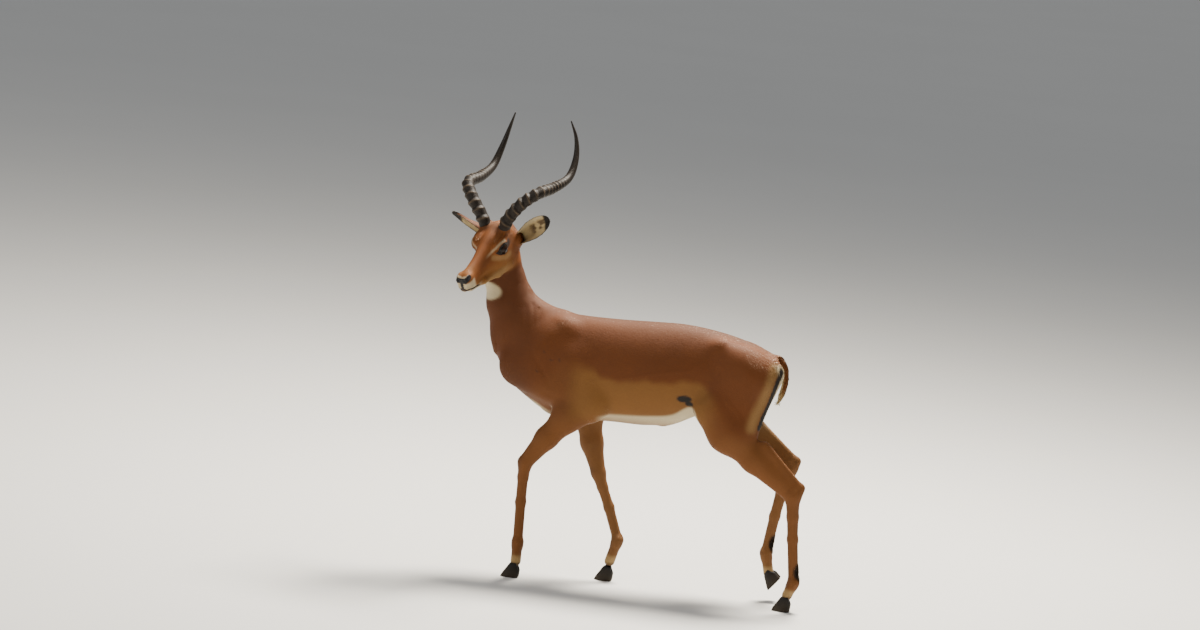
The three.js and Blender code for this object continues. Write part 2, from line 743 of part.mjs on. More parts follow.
function build() {
  let rest = wholeSolid().simplify(SMALLEST_STEP);
  const socket = (make, name, material) => {
    rest = rest.subtract(make(GAP));
    addNode(name, make(0), material);
  };
  socket(tailSolid, "tail", materials.hide);
  for (const [name, side] of Object.entries(SIDES)) {
    socket((fat) => eyeSolid(side, fat), `eye_${name}`, materials.eye);
    socket((fat) => earSolid(side, fat), `ear_${name}`, materials.hide);
    socket((fat) => hornSolid(side, fat), `horn_${name}`, materials.horn);
    for (const [leg, joints] of [["fore", FORELEG[side]], ["hind", HINDLEG[side]]]) {
      for (const [claw, place] of [["outer", side], ["inner", -side]]) {
        const make = (fat) => clawSolid(side, joints, place, fat);
        socket(make, `hoof_${leg}_${name}_${claw}`, materials.hoof);
      }
    }
  }
  for (const [name, side] of Object.entries(SIDES)) {
    for (const leg of ["foreleg", "hindleg"]) {
      addNode(`${leg}_${name}`, rest.intersect(legSpace(side, CUTS[leg])), materials.paleHide);
      rest = rest.subtract(legSpace(side, CUTS[leg], GAP));
    }
  }
  for (const name of ["head", "neck"]) {
    const { point, normal } = CUTS[name];
    addNode(name, rest.intersect(halfSpace(point, normal)), materials.hide);
    rest = rest.subtract(halfSpace(point, normal, GAP));
  }
  addNode("trunk", rest, materials.hide);
}

// The group's origin is the middle of the bounding box, at the floor.
function centre() {
  const box = new THREE.Box3().setFromObject(group);
  const middle = box.getCenter(new THREE.Vector3());
  group.position.set(-middle.x, -middle.y, -box.min.z);
}

build();
centre();
export default group;
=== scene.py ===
"""The looks of a life-size impala ram, walking, with its head turned to its left.

Shapes are worked out in millimetres in the animal's own frame: +Z up, walking towards -X, its left
side at -Y, the floor at z = 0. They go to metres in the row's frame only when a mesh is made.

One skin stands for all the flesh. It is the surface of an implicit body of bones and muscles, drawn
in by the depth of the coat. Short tufts of hair lie over it, each a small solid, in the same
colours as the skin below them.
"""

import logging
import math
from collections.abc import Callable, Sequence
from dataclasses import dataclass, field
from enum import Enum

import bmesh
import bpy
import numpy as np
from mathutils import Matrix, Vector
from mathutils import noise as blender_noise


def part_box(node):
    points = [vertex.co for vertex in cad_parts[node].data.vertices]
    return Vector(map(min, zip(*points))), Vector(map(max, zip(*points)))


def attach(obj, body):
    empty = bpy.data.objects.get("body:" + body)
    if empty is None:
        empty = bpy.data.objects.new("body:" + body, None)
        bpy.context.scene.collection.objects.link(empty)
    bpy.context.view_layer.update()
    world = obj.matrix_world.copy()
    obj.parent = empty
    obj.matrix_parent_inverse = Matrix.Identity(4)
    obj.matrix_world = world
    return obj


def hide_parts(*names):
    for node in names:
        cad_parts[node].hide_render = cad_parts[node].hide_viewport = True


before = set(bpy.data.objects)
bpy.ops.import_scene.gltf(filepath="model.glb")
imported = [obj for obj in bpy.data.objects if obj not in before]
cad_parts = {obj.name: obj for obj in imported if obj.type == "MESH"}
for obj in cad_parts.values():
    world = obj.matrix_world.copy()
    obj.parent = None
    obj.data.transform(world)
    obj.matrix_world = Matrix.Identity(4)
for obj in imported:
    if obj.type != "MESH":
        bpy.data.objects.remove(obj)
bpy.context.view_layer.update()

log = logging.getLogger("impala")
Array = np.ndarray
Colour = tuple[float, float, float]

MM = 0.001
LEFT, RIGHT = -1, 1  # a side of the body, as the sign of Y
SIDES = {"left": LEFT, "right": RIGHT}


# ---------------------------------------------------------------- small helpers
def unit(v: Array) -> Array:
    """Returns vectors of length 1 along the last axis."""
    return v / np.maximum(np.linalg.norm(v, axis=-1, keepdims=True), 1e-12)


def smoothstep(x: Array, low: float, high: float) -> Array:
    """Returns 0 below low, 1 above high and a smooth rise between them; low may be the larger."""
    t = np.clip((x - low) / (high - low), 0.0, 1.0)
    return t * t * (3.0 - 2.0 * t)


def mix(a: Array, b: Array, t: Array) -> Array:
    """Returns a where t is 0 and b where it is 1."""
    return a + (b - a) * t


def melt(a: Array, b: Array, soft: float) -> Array:
    """Joins two distances, melted into each other over soft millimetres."""
    h = np.maximum(soft - np.abs(a - b), 0.0)
    return np.minimum(a, b) - h * h / (4.0 * soft)


def carve(a: Array, b: Array, soft: float) -> Array:
    """Cuts the inside of distance b out of distance a, with an edge rounded over soft millimetres."""
    return -melt(-a, b, soft)


def outward(p: Sequence[float], side: int) -> Array:
    """Returns a place given by its distance from the midline on one side of the body."""
    return np.array([p[0], side * p[1], p[2]], float)


def between(a: Sequence[float], b: Sequence[float], t: float) -> Array:
    """Returns the place at share t of the way from a to b."""
    return mix(np.asarray(a, float), np.asarray(b, float), t)


@dataclass(frozen=True)
class Profile:
    """A smooth line through rows of (x, values...), in order of x."""

    rows: Array

    def __call__(self, x: Array) -> Array:
        """Returns the values at each x.

        Args:
            x: places along the line; past its ends the end values hold.

        Returns:
            One row of values for each place.
        """
        rows = self.rows
        last = len(rows) - 1
        k = np.clip(np.searchsorted(rows[:, 0], x, side="right") - 1, 0, last - 1)
        a, b = rows[k], rows[k + 1]
        before, after = rows[np.maximum(k - 1, 0)], rows[np.minimum(k + 2, last)]
        span = (b[:, 0] - a[:, 0])[:, None]
        t = np.clip((x - a[:, 0])[:, None] / span, 0.0, 1.0)
        slope_a = (b - before)[:, 1:] / (b - before)[:, :1] * span
        slope_b = (after - a)[:, 1:] / (after - a)[:, :1] * span
        t2, t3 = t * t, t * t * t
        return (
            (2 * t3 - 3 * t2 + 1) * a[:, 1:]
            + (t3 - 2 * t2 + t) * slope_a
            + (3 * t2 - 2 * t3) * b[:, 1:]
            + (t3 - t2) * slope_b
        )


@dataclass(frozen=True)
class HeadFrame:
    """The head's own frame at the poll: forward to the nose, left, and up through the crown."""

    poll: tuple[float, float, float] = (-316.0, -6.0, 1084.0)
    yaw: float = 66.0  # degrees from straight ahead towards the animal's left
    pitch: float = 30.0  # nose down
    roll: float = 1.0

    @property
    def axes(self) -> Array:
        """Returns forward, left and up as rows."""
        yaw, pitch, roll = (math.radians(a) for a in (self.yaw, self.pitch, self.roll))
        forward = np.array([-math.cos(yaw) * math.cos(pitch), -math.sin(yaw) * math.cos(pitch), -math.sin(pitch)])
        left = unit(np.cross([0.0, 0.0, 1.0], forward))
        up = np.cross(forward, left)
        turn = np.array(Matrix.Rotation(roll, 3, Vector(forward)))
        return np.array([forward, turn @ left, turn @ up])

    def place(self, p: Sequence[float] | Array, side: int = LEFT) -> Array:
        """Returns head places in the body's frame, with their second number outwards on that side."""
        local = np.asarray(p, float) * np.array([1.0, -side, 1.0])
        return local @ self.axes + np.array(self.poll)

    def direction(self, d: Sequence[float], side: int = LEFT) -> Array:
        """Returns a head direction in the body's frame, with its second number outwards."""
        return unit(np.asarray(d, float) * np.array([1.0, -side, 1.0]) @ self.axes)

    def local(self, points: Array) -> Array:
        """Returns places of the body's frame in the head's own."""
        return (points - np.array(self.poll)) @ self.axes.T


HEAD = HeadFrame()


# ---------------------------------------------------------------- implicit flesh
class Region(Enum):
    """The named regions of the skin."""

    TRUNK = 0
    NECK = 1
    HEAD = 2
    FORELEG_LEFT = 3
    FORELEG_RIGHT = 4
    HINDLEG_LEFT = 5
    HINDLEG_RIGHT = 6
    TAIL = 7
    EAR_LEFT = 8
    EAR_RIGHT = 9


@dataclass
class Shape:
    """A shape of the flesh. Its kinds give their own distance and box.

    Attributes:
        region: the region that the shape belongs to.
        flow: the way its hair lies.
        soft: how far it melts into what it joins.
    """

    region: Region
    flow: Array
    soft: float

    def distance(self, p: Array) -> Array:
        """Returns the distance of each point from the surface, negative inside."""
        raise NotImplementedError

    def box(self) -> tuple[Array, Array]:
        """Returns the lowest and highest corners that hold the shape."""
        raise NotImplementedError


@dataclass
class Limb(Shape):
    """A tapered limb from a to b. flat is its width over its depth, across Y."""

    a: Array
    ra: float
    b: Array
    rb: float
    flat: float = 1.0

    def distance(self, p: Array) -> Array:
        """Returns the distance of each point from the surface, negative inside."""
        along = self.b - self.a
        d = p - self.a
        t = np.clip(d @ along / (along @ along), 0.0, 1.0)
        d = d - t[:, None] * along
        d[:, 1] /= self.flat
        radius = self.ra + (self.rb - self.ra) * t
        return (np.sqrt(np.einsum("ij,ij->i", d, d)) - radius) * (1.0 + self.flat) * 0.5

    def box(self) -> tuple[Array, Array]:
        """Returns the lowest and highest corners that hold the shape."""
        reach = max(self.ra, self.rb) * max(1.0, self.flat)
        return np.minimum(self.a, self.b) - reach, np.maximum(self.a, self.b) + reach


@dataclass
class Hull(Shape):
    """A hull with oval sections, from rows of (x, top, bottom, half width)."""

    rows: Array
    pear: float
    on_head: bool = False

    def distance(self, p: Array) -> Array:
        """Returns the distance of each point from the surface, negative inside."""
        q = HEAD.local(p) if self.on_head else p
        first, last = self.rows[0, 0], self.rows[-1, 0]
        x = np.clip(q[:, 0], first, last)
        top, bottom, width = Profile(self.rows)(x).T
        half = (top - bottom) / 2
        v = (q[:, 2] - (top + bottom) / 2) / half
        y = q[:, 1] / (width * (1 - self.pear * np.clip(v, -1, 1)))
        ratio = np.hypot(y, v)
        slope = np.maximum(np.hypot(y / width, v / half), 1e-9)
        side = (ratio - 1) * ratio / slope
        side = np.where(ratio < 1e-6, -np.minimum(width, half), side)
        beyond = np.abs(q[:, 0] - x)
        return np.where(beyond > 0, np.hypot(np.maximum(side, 0), beyond), side)

    def box(self) -> tuple[Array, Array]:
        """Returns the lowest and highest corners that hold the shape."""
        wide = self.rows[:, 3].max() * (1 + self.pear)
        low = np.array([self.rows[0, 0], -wide, self.rows[:, 2].min()])
        high = np.array([self.rows[-1, 0], wide, self.rows[:, 1].max()])
        if not self.on_head:
            return low, high
        corners = np.array(np.meshgrid(*zip(low, high))).reshape(3, -1).T
        placed = HEAD.place(corners)
        return placed.min(0), placed.max(0)


@dataclass
class Lump(Shape):
    """A lump of muscle or bone on the head: an ellipsoid with half sizes r."""

    centre: Array
    r: Array

    def distance(self, p: Array) -> Array:
        """Returns the distance of each point from the surface, negative inside."""
        q = (HEAD.local(p) - self.centre) / self.r
        return (np.sqrt(np.einsum("ij,ij->i", q, q)) - 1.0) * self.r.min()

    def box(self) -> tuple[Array, Array]:
        """Returns the lowest and highest corners that hold the shape."""
        centre = HEAD.place(self.centre)
        return centre - self.r.max(), centre + self.r.max()


@dataclass
class Body:
    """The measures of the ram's bones and muscles, and the shapes that they make."""

    trunk: tuple = (
        (-306, 738, 700, 24), (-280, 786, 664, 48), (-235, 822, 608, 72), (-170, 838, 545, 86),
        (-105, 841, 515, 93), (-15, 840, 512, 99), (80, 842, 515, 106), (180, 847, 517, 109),
        (265, 850, 534, 103), (345, 844, 584, 92), (430, 829, 636, 82), (510, 806, 680, 64),
        (566, 782, 712, 30),
    )  # x, top, bottom, half width
    neck: tuple = (
        (-186, 0, 695, 110), (-236, 0, 770, 92), (-281, 0, 850, 77), (-307, -2, 925, 63),
        (-319, -8, 985, 56), (-322, -16, 1040, 44),
    )  # x, y, z, half depth
    neck_width: float = 0.72  # width over depth
    skull: tuple = (
        (-8, 22, -36, 30), (26, 44, -64, 44), (58, 50, -86, 46), (104, 42, -94, 44),
        (142, 28, -87, 34), (182, 15, -75, 26), (224, 6, -67, 24), (258, 2, -64, 25),
        (280, -8, -56, 17),
    )  # forward, top, bottom, half width in the head's own frame
    jaw: tuple = ((254, 8, -52, 13), (196, 15, -64, 13), (130, 24, -78, 16), (78, 30, -76, 20))
    tail: tuple = (
        (545, 776, 13), (570, 772, 12), (590, 745, 11), (594, 705, 11.4), (588, 668, 10.4), (579, 640, 5),
    )  # x, z, radius
    foreleg: dict = field(default_factory=lambda: {
        LEFT: {
            "scapula": (-105, 44, 790), "shoulder": (-232, 62, 662), "elbow": (8, 82, 572),
            "forearm_top": (-55, 82, 532), "forearm_mid": (-118, 78, 454), "knee": (-177, 71, 368),
            "cannon_top": (-180, 68, 320), "cannon": (-180, 64, 240), "fetlock": (-177, 61, 112),
            "coronet": (-177, 60, 52),
        },
        RIGHT: {
            "scapula": (-120, 44, 792), "shoulder": (-205, 62, 660), "elbow": (8, 82, 584),
            "forearm_top": (-14, 82, 520), "forearm_mid": (8, 77, 428), "knee": (39, 70, 336),
            "cannon_top": (57, 67, 292), "cannon": (84, 64, 232), "fetlock": (122, 61, 132),
            "coronet": (104, 60, 62),
        },
    })
    hindleg: dict = field(default_factory=lambda: {
        LEFT: {
            "hip": (470, 56, 722), "ischium": (545, 38, 728), "stifle": (384, 82, 604),
            "calf": (440, 82, 540), "gaskin": (528, 77, 462), "hock": (660, 70, 366),
            "hock_point": (681, 68, 394), "cannon_top": (667, 68, 300), "cannon": (674, 65, 230),
            "fetlock": (691, 61, 92), "coronet": (676, 60, 52),
        },
        RIGHT: {
            "hip": (464, 56, 722), "ischium": (541, 38, 728), "stifle": (362, 82, 622),
            "calf": (412, 82, 566), "gaskin": (498, 76, 500), "hock": (632, 69, 424),
            "hock_point": (652, 67, 451), "cannon_top": (617, 67, 350), "cannon": (604, 64, 270),
            "fetlock": (589, 61, 150), "coronet": (604, 60, 90),
        },
    })

    def neck_shapes(self) -> list[Shape]:
        """Returns the lengths of the neck, from the breast to the skull."""
        made: list[Shape] = []
        for i, (a, b) in enumerate(zip(self.neck, self.neck[1:])):
            start, end = np.array(a[:3], float), np.array(b[:3], float)
            flow = unit(start - end)
            soft = (60, 36, 14, 14, 14)[i]
            made.append(Limb(Region.NECK, flow, soft, start, a[3], end, b[3], self.neck_width))
        return made

    def trunk_shapes(self) -> list[Shape]:
        """Returns the barrel, withers, breastbone, sheath and scrotum."""
        back, down = unit(np.array([1.0, 0, -0.22])), unit(np.array([1.0, 0, -0.5]))
        trunk = Region.TRUNK

        def limb(flow: Array, soft: float, a: tuple, ra: float, b: tuple, rb: float, flat: float = 1.0) -> Limb:
            """Returns one limb of the trunk."""
            return Limb(trunk, flow, soft, np.array(a, float), ra, np.array(b, float), rb, flat)

        return [
            Hull(trunk, back, 1, np.array(self.trunk, float), 0.1),
            limb(back, 36, (-225, 0, 826), 22, (-120, 0, 812), 30, 0.8),
            limb(down, 26, (-232, 0, 676), 34, (-115, 0, 562), 42, 0.9),
            limb(back, 26, (232, 0, 540), 14, (385, 0, 606), 16),
            limb(down, 14, (455, 0, 640), 24, (452, 0, 600), 25),
        ]

    def chain(self, side: int, region: Region, joints: dict, rows: Sequence[tuple]) -> list[Shape]:
        """Returns the limbs of one leg.

        Args:
            side: the side of the body.
            region: the region of the skin that they belong to.
            joints: the leg's joint places by name.
            rows: (start, radius, end, radius, flat, soft) for each limb. A start or end is a
                joint's name, or a place given by its distance from the midline.

        Returns:
            One shape for each row.
        """
        made: list[Shape] = []
        for a, ra, b, rb, flat, soft in rows:
            start = outward(joints[a] if isinstance(a, str) else a, side)
            end = outward(joints[b] if isinstance(b, str) else b, side)
            flow = unit((end - start) * np.array([1.0, 0.3, 1.0]) + np.array([0.0, 0.0, -1.0]))
            made.append(Limb(region, flow, soft, start, ra, end, rb, flat))
        return made

    def shoulder_shapes(self, side: int) -> list[Shape]:
        """Returns the shoulder blade, the upper arm and the muscle behind it."""
        return self.chain(side, Region.TRUNK, self.foreleg[side], [
            ("scapula", 34, "shoulder", 46, 0.66, 40),
            ("shoulder", 46, "elbow", 46, 0.6, 36),
            ((-62, 62, 680), 62, "elbow", 38, 0.55, 36),
        ])

    def foreleg_shapes(self, side: int) -> list[Shape]:
        """Returns the foreleg from the elbow to the coronet."""
        j = self.foreleg[side]
        region = Region.FORELEG_LEFT if side == LEFT else Region.FORELEG_RIGHT
        return self.chain(side, region, j, [
            ("elbow", 34, "forearm_top", 46, 0.62, 30),
            ("forearm_top", 46, "forearm_mid", 36, 0.66, 24),
            ("forearm_mid", 36, "knee", 24, 0.74, 14),
            ("knee", 24.5, "cannon_top", 18, 0.84, 8),
            ("cannon_top", 18, "cannon", 17.5, 0.74, 8),
            ("cannon", 17.5, between(j["cannon"], j["fetlock"], 0.85), 17, 0.76, 8),
            ("fetlock", 19.5, between(j["fetlock"], j["coronet"], 0.15), 19, 0.96, 10),
            ("fetlock", 17, "coronet", 17.5, 1.08, 10),
        ])

    def thigh_shapes(self, side: int) -> list[Shape]:
        """Returns the croup, the thigh and the muscles behind it."""
        j = self.hindleg[side]
        low = between(j["calf"], j["hock"], 0.28) + np.array([0, 0, 66])
        return self.chain(side, Region.TRUNK, j, [
            ((392, 56, 793), 21, "hip", 50, 0.7, 46),
            ("hip", 74, "stifle", 50, 0.56, 40),
            ("hip", 66, "ischium", 40, 0.64, 36),
            ((498, 60, 690), 62, "calf", 56, 0.58, 36),
            ("ischium", 38, low, 37, 0.6, 26),
        ])

    def hindleg_shapes(self, side: int) -> list[Shape]:
        """Returns the hind leg from the stifle to the coronet."""
        j = self.hindleg[side]
        region = Region.HINDLEG_LEFT if side == LEFT else Region.HINDLEG_RIGHT
        tendon_top = between(j["calf"], j["gaskin"], 0.95) + np.array([36, -3, 44])
        return self.chain(side, region, j, [
            ("stifle", 48, "calf", 56, 0.62, 30),
            ("calf", 56, "gaskin", 38, 0.6, 24),
            ("gaskin", 38, "hock", 25, 0.62, 16),
            (tendon_top, 17, "hock_point", 10, 0.62, 32),
            ("hock_point", 12, "hock", 24, 0.76, 12),
            ("hock", 25, "cannon_top", 19.5, 0.8, 10),
            ("cannon_top", 19.5, "cannon", 18, 0.72, 8),
            ("cannon", 18, between(j["cannon"], j["fetlock"], 0.85), 17.5, 0.74, 8),
            ("fetlock", 20, between(j["fetlock"], j["coronet"], 0.2), 19, 0.94, 10),
            ("fetlock", 17, "coronet", 17.5, 1.08, 10),
        ])

    def head_shapes(self) -> list[Shape]:
        """Returns the skull, its sockets and seats, the jaw and the nostril wings."""
        back = HEAD.direction((-1.0, 0.0, 0.12))
        made: list[Shape] = [Hull(Region.HEAD, back, 22, np.array(self.skull, float), 0.1, True)]
        for side in (LEFT, RIGHT):
            y = -side
            away = HEAD.direction((-0.75, 0.65, -0.1), side)

            def lump(centre: tuple, r: tuple, soft: float, flow: Array = back) -> None:
                """Adds a lump on this side of the head."""
                place = np.array(centre, float) * np.array([1.0, y, 1.0])
                made.append(Lump(Region.HEAD, flow, soft, place, np.array(r, float)))

            lump((102, 38, 3), (28, 15, 22), 12)
            lump((92, 36, 22), (34, 17, 19), 14)
            lump((72, 28, -56), (50, 17, 38), 20)
            lump((54, 33, 38), (24, 24, 16), 12)
            lump((8, 40, -32), (22, 18, 28), 14, away)
            for a, b in zip(self.jaw, self.jaw[1:]):
                start, end = HEAD.place(a[:3], side), HEAD.place(b[:3], side)
                made.append(Limb(Region.HEAD, back, 10, start, a[3], end, b[3]))
            lump((262, 15, -14), (22, 11, 16), 8)
        return made

    def tail_shapes(self) -> list[Shape]:
        """Returns the lengths of the tail."""
        made: list[Shape] = []
        rows = Profile(np.column_stack([np.arange(len(self.tail)), self.tail]))(np.linspace(0, 5, 16))
        for a, b in zip(rows, rows[1:]):
            start, end = np.array([a[0], 0, a[1]]), np.array([b[0], 0, b[1]])
            made.append(Limb(Region.TAIL, unit(end - start), 6, start, a[2], end, b[2]))
        return made

    def shapes(self) -> list[Shape]:
        """Returns every shape, in the order in which they melt together."""
        made = self.trunk_shapes() + self.neck_shapes()
        for side in (LEFT, RIGHT):
            made += self.shoulder_shapes(side) + self.thigh_shapes(side)
        made += self.head_shapes()
        for side in (LEFT, RIGHT):
            made += self.foreleg_shapes(side) + self.hindleg_shapes(side)
        return made + self.tail_shapes()


# ---------------------------------------------------------------- face details
@dataclass(frozen=True)
class EyeSize:
    """The eyeball and its lids, on the near side; the far side mirrors them in the head's frame."""

    centre: tuple[float, float, float] = (105.0, 44.0, -1.0)
    radius: float = 19.0
    lid: float = 20.6  # radius of the lids' outer face
    cut: float = 16.0  # how deep the opening goes
    half_length: float = 16.5
    upper_rise: float = 11.5
    lower_rise: float = 8.5
    look: tuple[float, float, float] = (0.30, 0.95, 0.06)
    slant: float = 12.0  # degrees; the front corner is lower than the back one

    def opening(self, local: Array) -> tuple[Array, Array, Array]:
        """Measures places against the opening between the lids.

        Args:
            local: places in the head's frame with the second number outwards.

        Returns:
            How far outside the almond each place is, its height above the corners' line, and how
            far it lies from the eyeball's centre.
        """
        look = unit(np.array(self.look))
        along = unit(np.cross(np.cross(look, [1.0, 0.0, 0.0]), look))
        rise = np.cross(along, look)
        rise = rise if rise[2] > 0 else -rise
        turn = math.radians(-self.slant)
        along, rise = along * math.cos(turn) + rise * math.sin(turn), rise * math.cos(turn) - along * math.sin(turn)
        q = local - np.array(self.centre)
        x, z = q @ along, q @ rise
        upper = self.bow(x, z, self.upper_rise)
        lower = self.bow(x, -z, self.lower_rise)
        almond = np.maximum(upper, lower)
        behind = np.maximum(0.0, 4.0 - q @ look)
        return almond + behind, z, np.linalg.norm(q, axis=1)

    def bow(self, x: Array, z: Array, rise: float) -> Array:
        """Returns the distance from a disc whose arc goes through both corners, rise above them."""
        radius = (self.half_length**2 + rise**2) / (2 * rise)
        return np.hypot(x, z - (rise - radius)) - radius


EYE = EyeSize()


def from_line(p: Array, line: Array) -> Array:
    """Returns how far each place is from a line through some corners."""
    nearest = np.full(len(p), 1e9)
    for a, b in zip(line, line[1:]):
        along = b - a
        t = np.clip((p - a) @ along / max(along @ along, 1e-9), 0, 1)
        nearest = np.minimum(nearest, np.linalg.norm(p - a - t[:, None] * along, axis=1))
    return nearest


def groove(p: Array, line: Array, width: float) -> Array:
    """Returns 1 on a line through some corners, falling to 0 over a few widths."""
    return np.exp(-((from_line(p, line) / width) ** 2))


NOSTRIL = np.array([(280.0, 5.0, -14.0), (281.0, 12.0, -13.5), (277.0, 20.0, -9.0), (264.0, 24.0, -4.0)])
PHILTRUM = np.array([(280.0, 0.0, -14.0), (280.0, 0.0, -44.0)])
MOUTH = np.array([(280, 0, -44), (279, 10, -45), (272, 17.5, -47), (256, 21, -50.5), (226, 21, -58)], float)
JAW_FOLD = np.array([(190.0, 25.0, -58.0), (150.0, 32.0, -66.0), (110.0, 40.0, -62.0)])
CHEEK_FOLD = np.array([(138.0, 40.0, -14.0), (168.0, 28.0, -26.0), (205.0, 21.0, -28.0)])
TEAR_FOLD = np.array([(124.0, 46.0, -4.0), (136.0, 40.0, -8.0), (150.0, 33.0, -12.0)])
LID_CREASE_RISE = 4.2


class Flesh:
    """The whole body as one field of distance, drawn in by the depth of the coat."""

    margin = 46.0  # beyond this a shape no longer melts into its neighbours

    def __init__(self, shapes: list[Shape]) -> None:
        """Keeps the shapes with their boxes."""
        self.shapes = shapes
        self.boxes = [(low - self.margin, high + self.margin) for low, high in (s.box() for s in shapes)]
        self.head_box = (HEAD.place((130, 0, -20)) - 210.0, HEAD.place((130, 0, -20)) + 210.0)

    def bare(self, p: Array) -> Array:
        """Returns the distance of each place from the flesh as CAD has it."""
        d = np.full(len(p), 1e3)
        for shape, (low, high) in zip(self.shapes, self.boxes):
            near = np.flatnonzero(np.all((p > low) & (p < high), axis=1))
            if len(near):
                d[near] = melt(d[near], shape.distance(p[near]), shape.soft)
        return d

    def coat_depth(self, p: Array) -> Array:
        """Returns how far the skin lies inside the flesh: deep on the back, shallow on the face."""
        forward = HEAD.local(p)[:, 0]
        on_head = smoothstep(forward, 10, 70) * smoothstep(p[:, 2], 880, 920)
        body = mix(1.4, 3.0, smoothstep(p[:, 2], 380, 640))
        return mix(body, 1.1, on_head)

    def distance(self, p: Array) -> Array:
        """Returns the distance of each place from the skin, with the face's details cut into it."""
        d = self.bare(p) + self.coat_depth(p)
        low, high = self.head_box
        near = np.flatnonzero(np.all((p > low) & (p < high), axis=1))
        if len(near):
            local = HEAD.local(p[near])
            local[:, 1] = np.abs(local[:, 1])
            d[near] = self.face(d[near], local)
        return self.creases(d, p)

    def face(self, d: Array, q: Array) -> Array:
        """Adds the lids, nostrils, lips and folds.

        Args:
            d: the plain distances.
            q: places in the head's frame, with the second number outwards on either side.

        Returns:
            The changed distances.
        """
        almond, rise, out = EYE.opening(q)
        lids = np.maximum(out - EYE.lid, 4.0 - (q[:, 1] - EYE.centre[1] + 8.0))
        d = melt(d, lids, 7.0)
        rim = np.exp(-(((almond - 1.6) / 1.5) ** 2)) * smoothstep(out, 32, 24)
        crease = np.exp(-(((almond - LID_CREASE_RISE - 2.5) / 1.4) ** 2)) * smoothstep(out, 34, 25)
        d = d - 0.8 * rim + 1.0 * crease * smoothstep(rise, -4, 5)
        d = carve(d, np.maximum(almond, EYE.cut - out), 1.2)
        d = d - 2.6 * np.exp(-(((almond - 9.5) / 4.5) ** 2)) * smoothstep(rise, 2, 10) * smoothstep(out, 44, 30)
        slit = groove(q, NOSTRIL[1:], 4.2)
        wing = groove(q, NOSTRIL[1:] + np.array([-3.0, 4.0, 6.5]), 5.0)
        d = d + 5.5 * slit - 1.6 * wing * (1 - slit) + 1.2 * groove(q, NOSTRIL[:2], 3.0)
        d = d + 2.6 * groove(q, MOUTH, 2.4) - 1.4 * groove(q, MOUTH + np.array([0.0, 1.0, 5.0]), 4.0)
        d = d - 1.0 * groove(q, MOUTH + np.array([-2.0, 1.0, -5.5]), 3.6)
        d = d + 1.6 * groove(q, PHILTRUM, 2.2)
        d = d + 1.4 * groove(q, JAW_FOLD, 6.0) + 1.2 * groove(q, CHEEK_FOLD, 6.0)
        return d + 1.3 * groove(q, TEAR_FOLD, 2.4)

    def creases(self, d: Array, p: Array) -> Array:
        """Adds the folds of the body: at the neck's base, the shoulder, the flank and the hams."""
        side = np.abs(p[:, 1])
        q = np.column_stack([p[:, 0], side, p[:, 2]])
        on_left = smoothstep(p[:, 1], 10, -10)
        for fold in FOLDS:
            strength = fold.depth * mix(1.0, on_left, fold.left_only)
            low, high = fold.line.min(0) - 4 * fold.width, fold.line.max(0) + 4 * fold.width
            near = np.flatnonzero(np.all((q > low) & (q < high), axis=1))
            if len(near):
                amount = strength[near] if isinstance(strength, np.ndarray) else strength
                d[near] = d[near] + amount * groove(q[near], fold.line, fold.width)
        return d

    def gradient(self, p: Array, field_of: Callable[[Array], Array], step: float = 0.7) -> Array:
        """Returns the slope of a field at each place, from four samples round it."""
        corners = np.array([(1, -1, -1), (-1, -1, 1), (-1, 1, -1), (1, 1, 1)], float)
        total = np.zeros_like(p)
        for corner in corners:
            total += field_of(p + corner * step)[:, None] * corner
        return total / (4.0 * step)

    def settle(self, p: Array, rounds: int = 3) -> Array:
        """Moves places onto the skin."""
        for _ in range(rounds):
            d, slope = self.distance(p), self.gradient(p, self.distance)
            steep = np.maximum(np.einsum("ij,ij->i", slope, slope), 0.25)
            move = -(d / steep)[:, None] * slope
            far = np.linalg.norm(move, axis=1, keepdims=True)
            p = p + move * np.minimum(1.0, 4.0 / np.maximum(far, 1e-9))
        return p

    def parts_near(self, p: Array) -> tuple[Array, Array]:
        """Returns the lie of the hair and the nearest region at each place."""
        flow, nearest = np.zeros_like(p), np.full(len(p), 1e9)
        region = np.zeros(len(p), int)
        surface = self.bare(p)
        for shape, (low, high) in zip(self.shapes, self.boxes):
            near = np.flatnonzero(np.all((p > low) & (p < high), axis=1))
            if not len(near):
                continue
            d = shape.distance(p[near])
            weight = np.exp(-np.clip(d - surface[near], -20, 80) / 9.0)
            flow[near] += weight[:, None] * shape.flow
            closer = d < nearest[near]
            nearest[near[closer]] = d[closer]
            region[near[closer]] = shape.region.value
        return unit(flow + 1e-9), region


@dataclass(frozen=True)
class Fold:
    """A shallow crease of the skin, along a line given by distance from the midline.

    Attributes:
        line: the crease's corners.
        width: how wide it is.
        depth: how deep it is; below nothing it stands out as a muscle's edge or a vein.
        left_only: 1 where only the left side has it, as on the inside of the neck's turn.
    """

    line: Array
    width: float
    depth: float
    left_only: float = 0.0


def fold(width: float, depth: float, *places: tuple, left_only: float = 0.0) -> Fold:
    """Returns a fold through some places."""
    return Fold(np.array(places, float), width, depth, left_only)


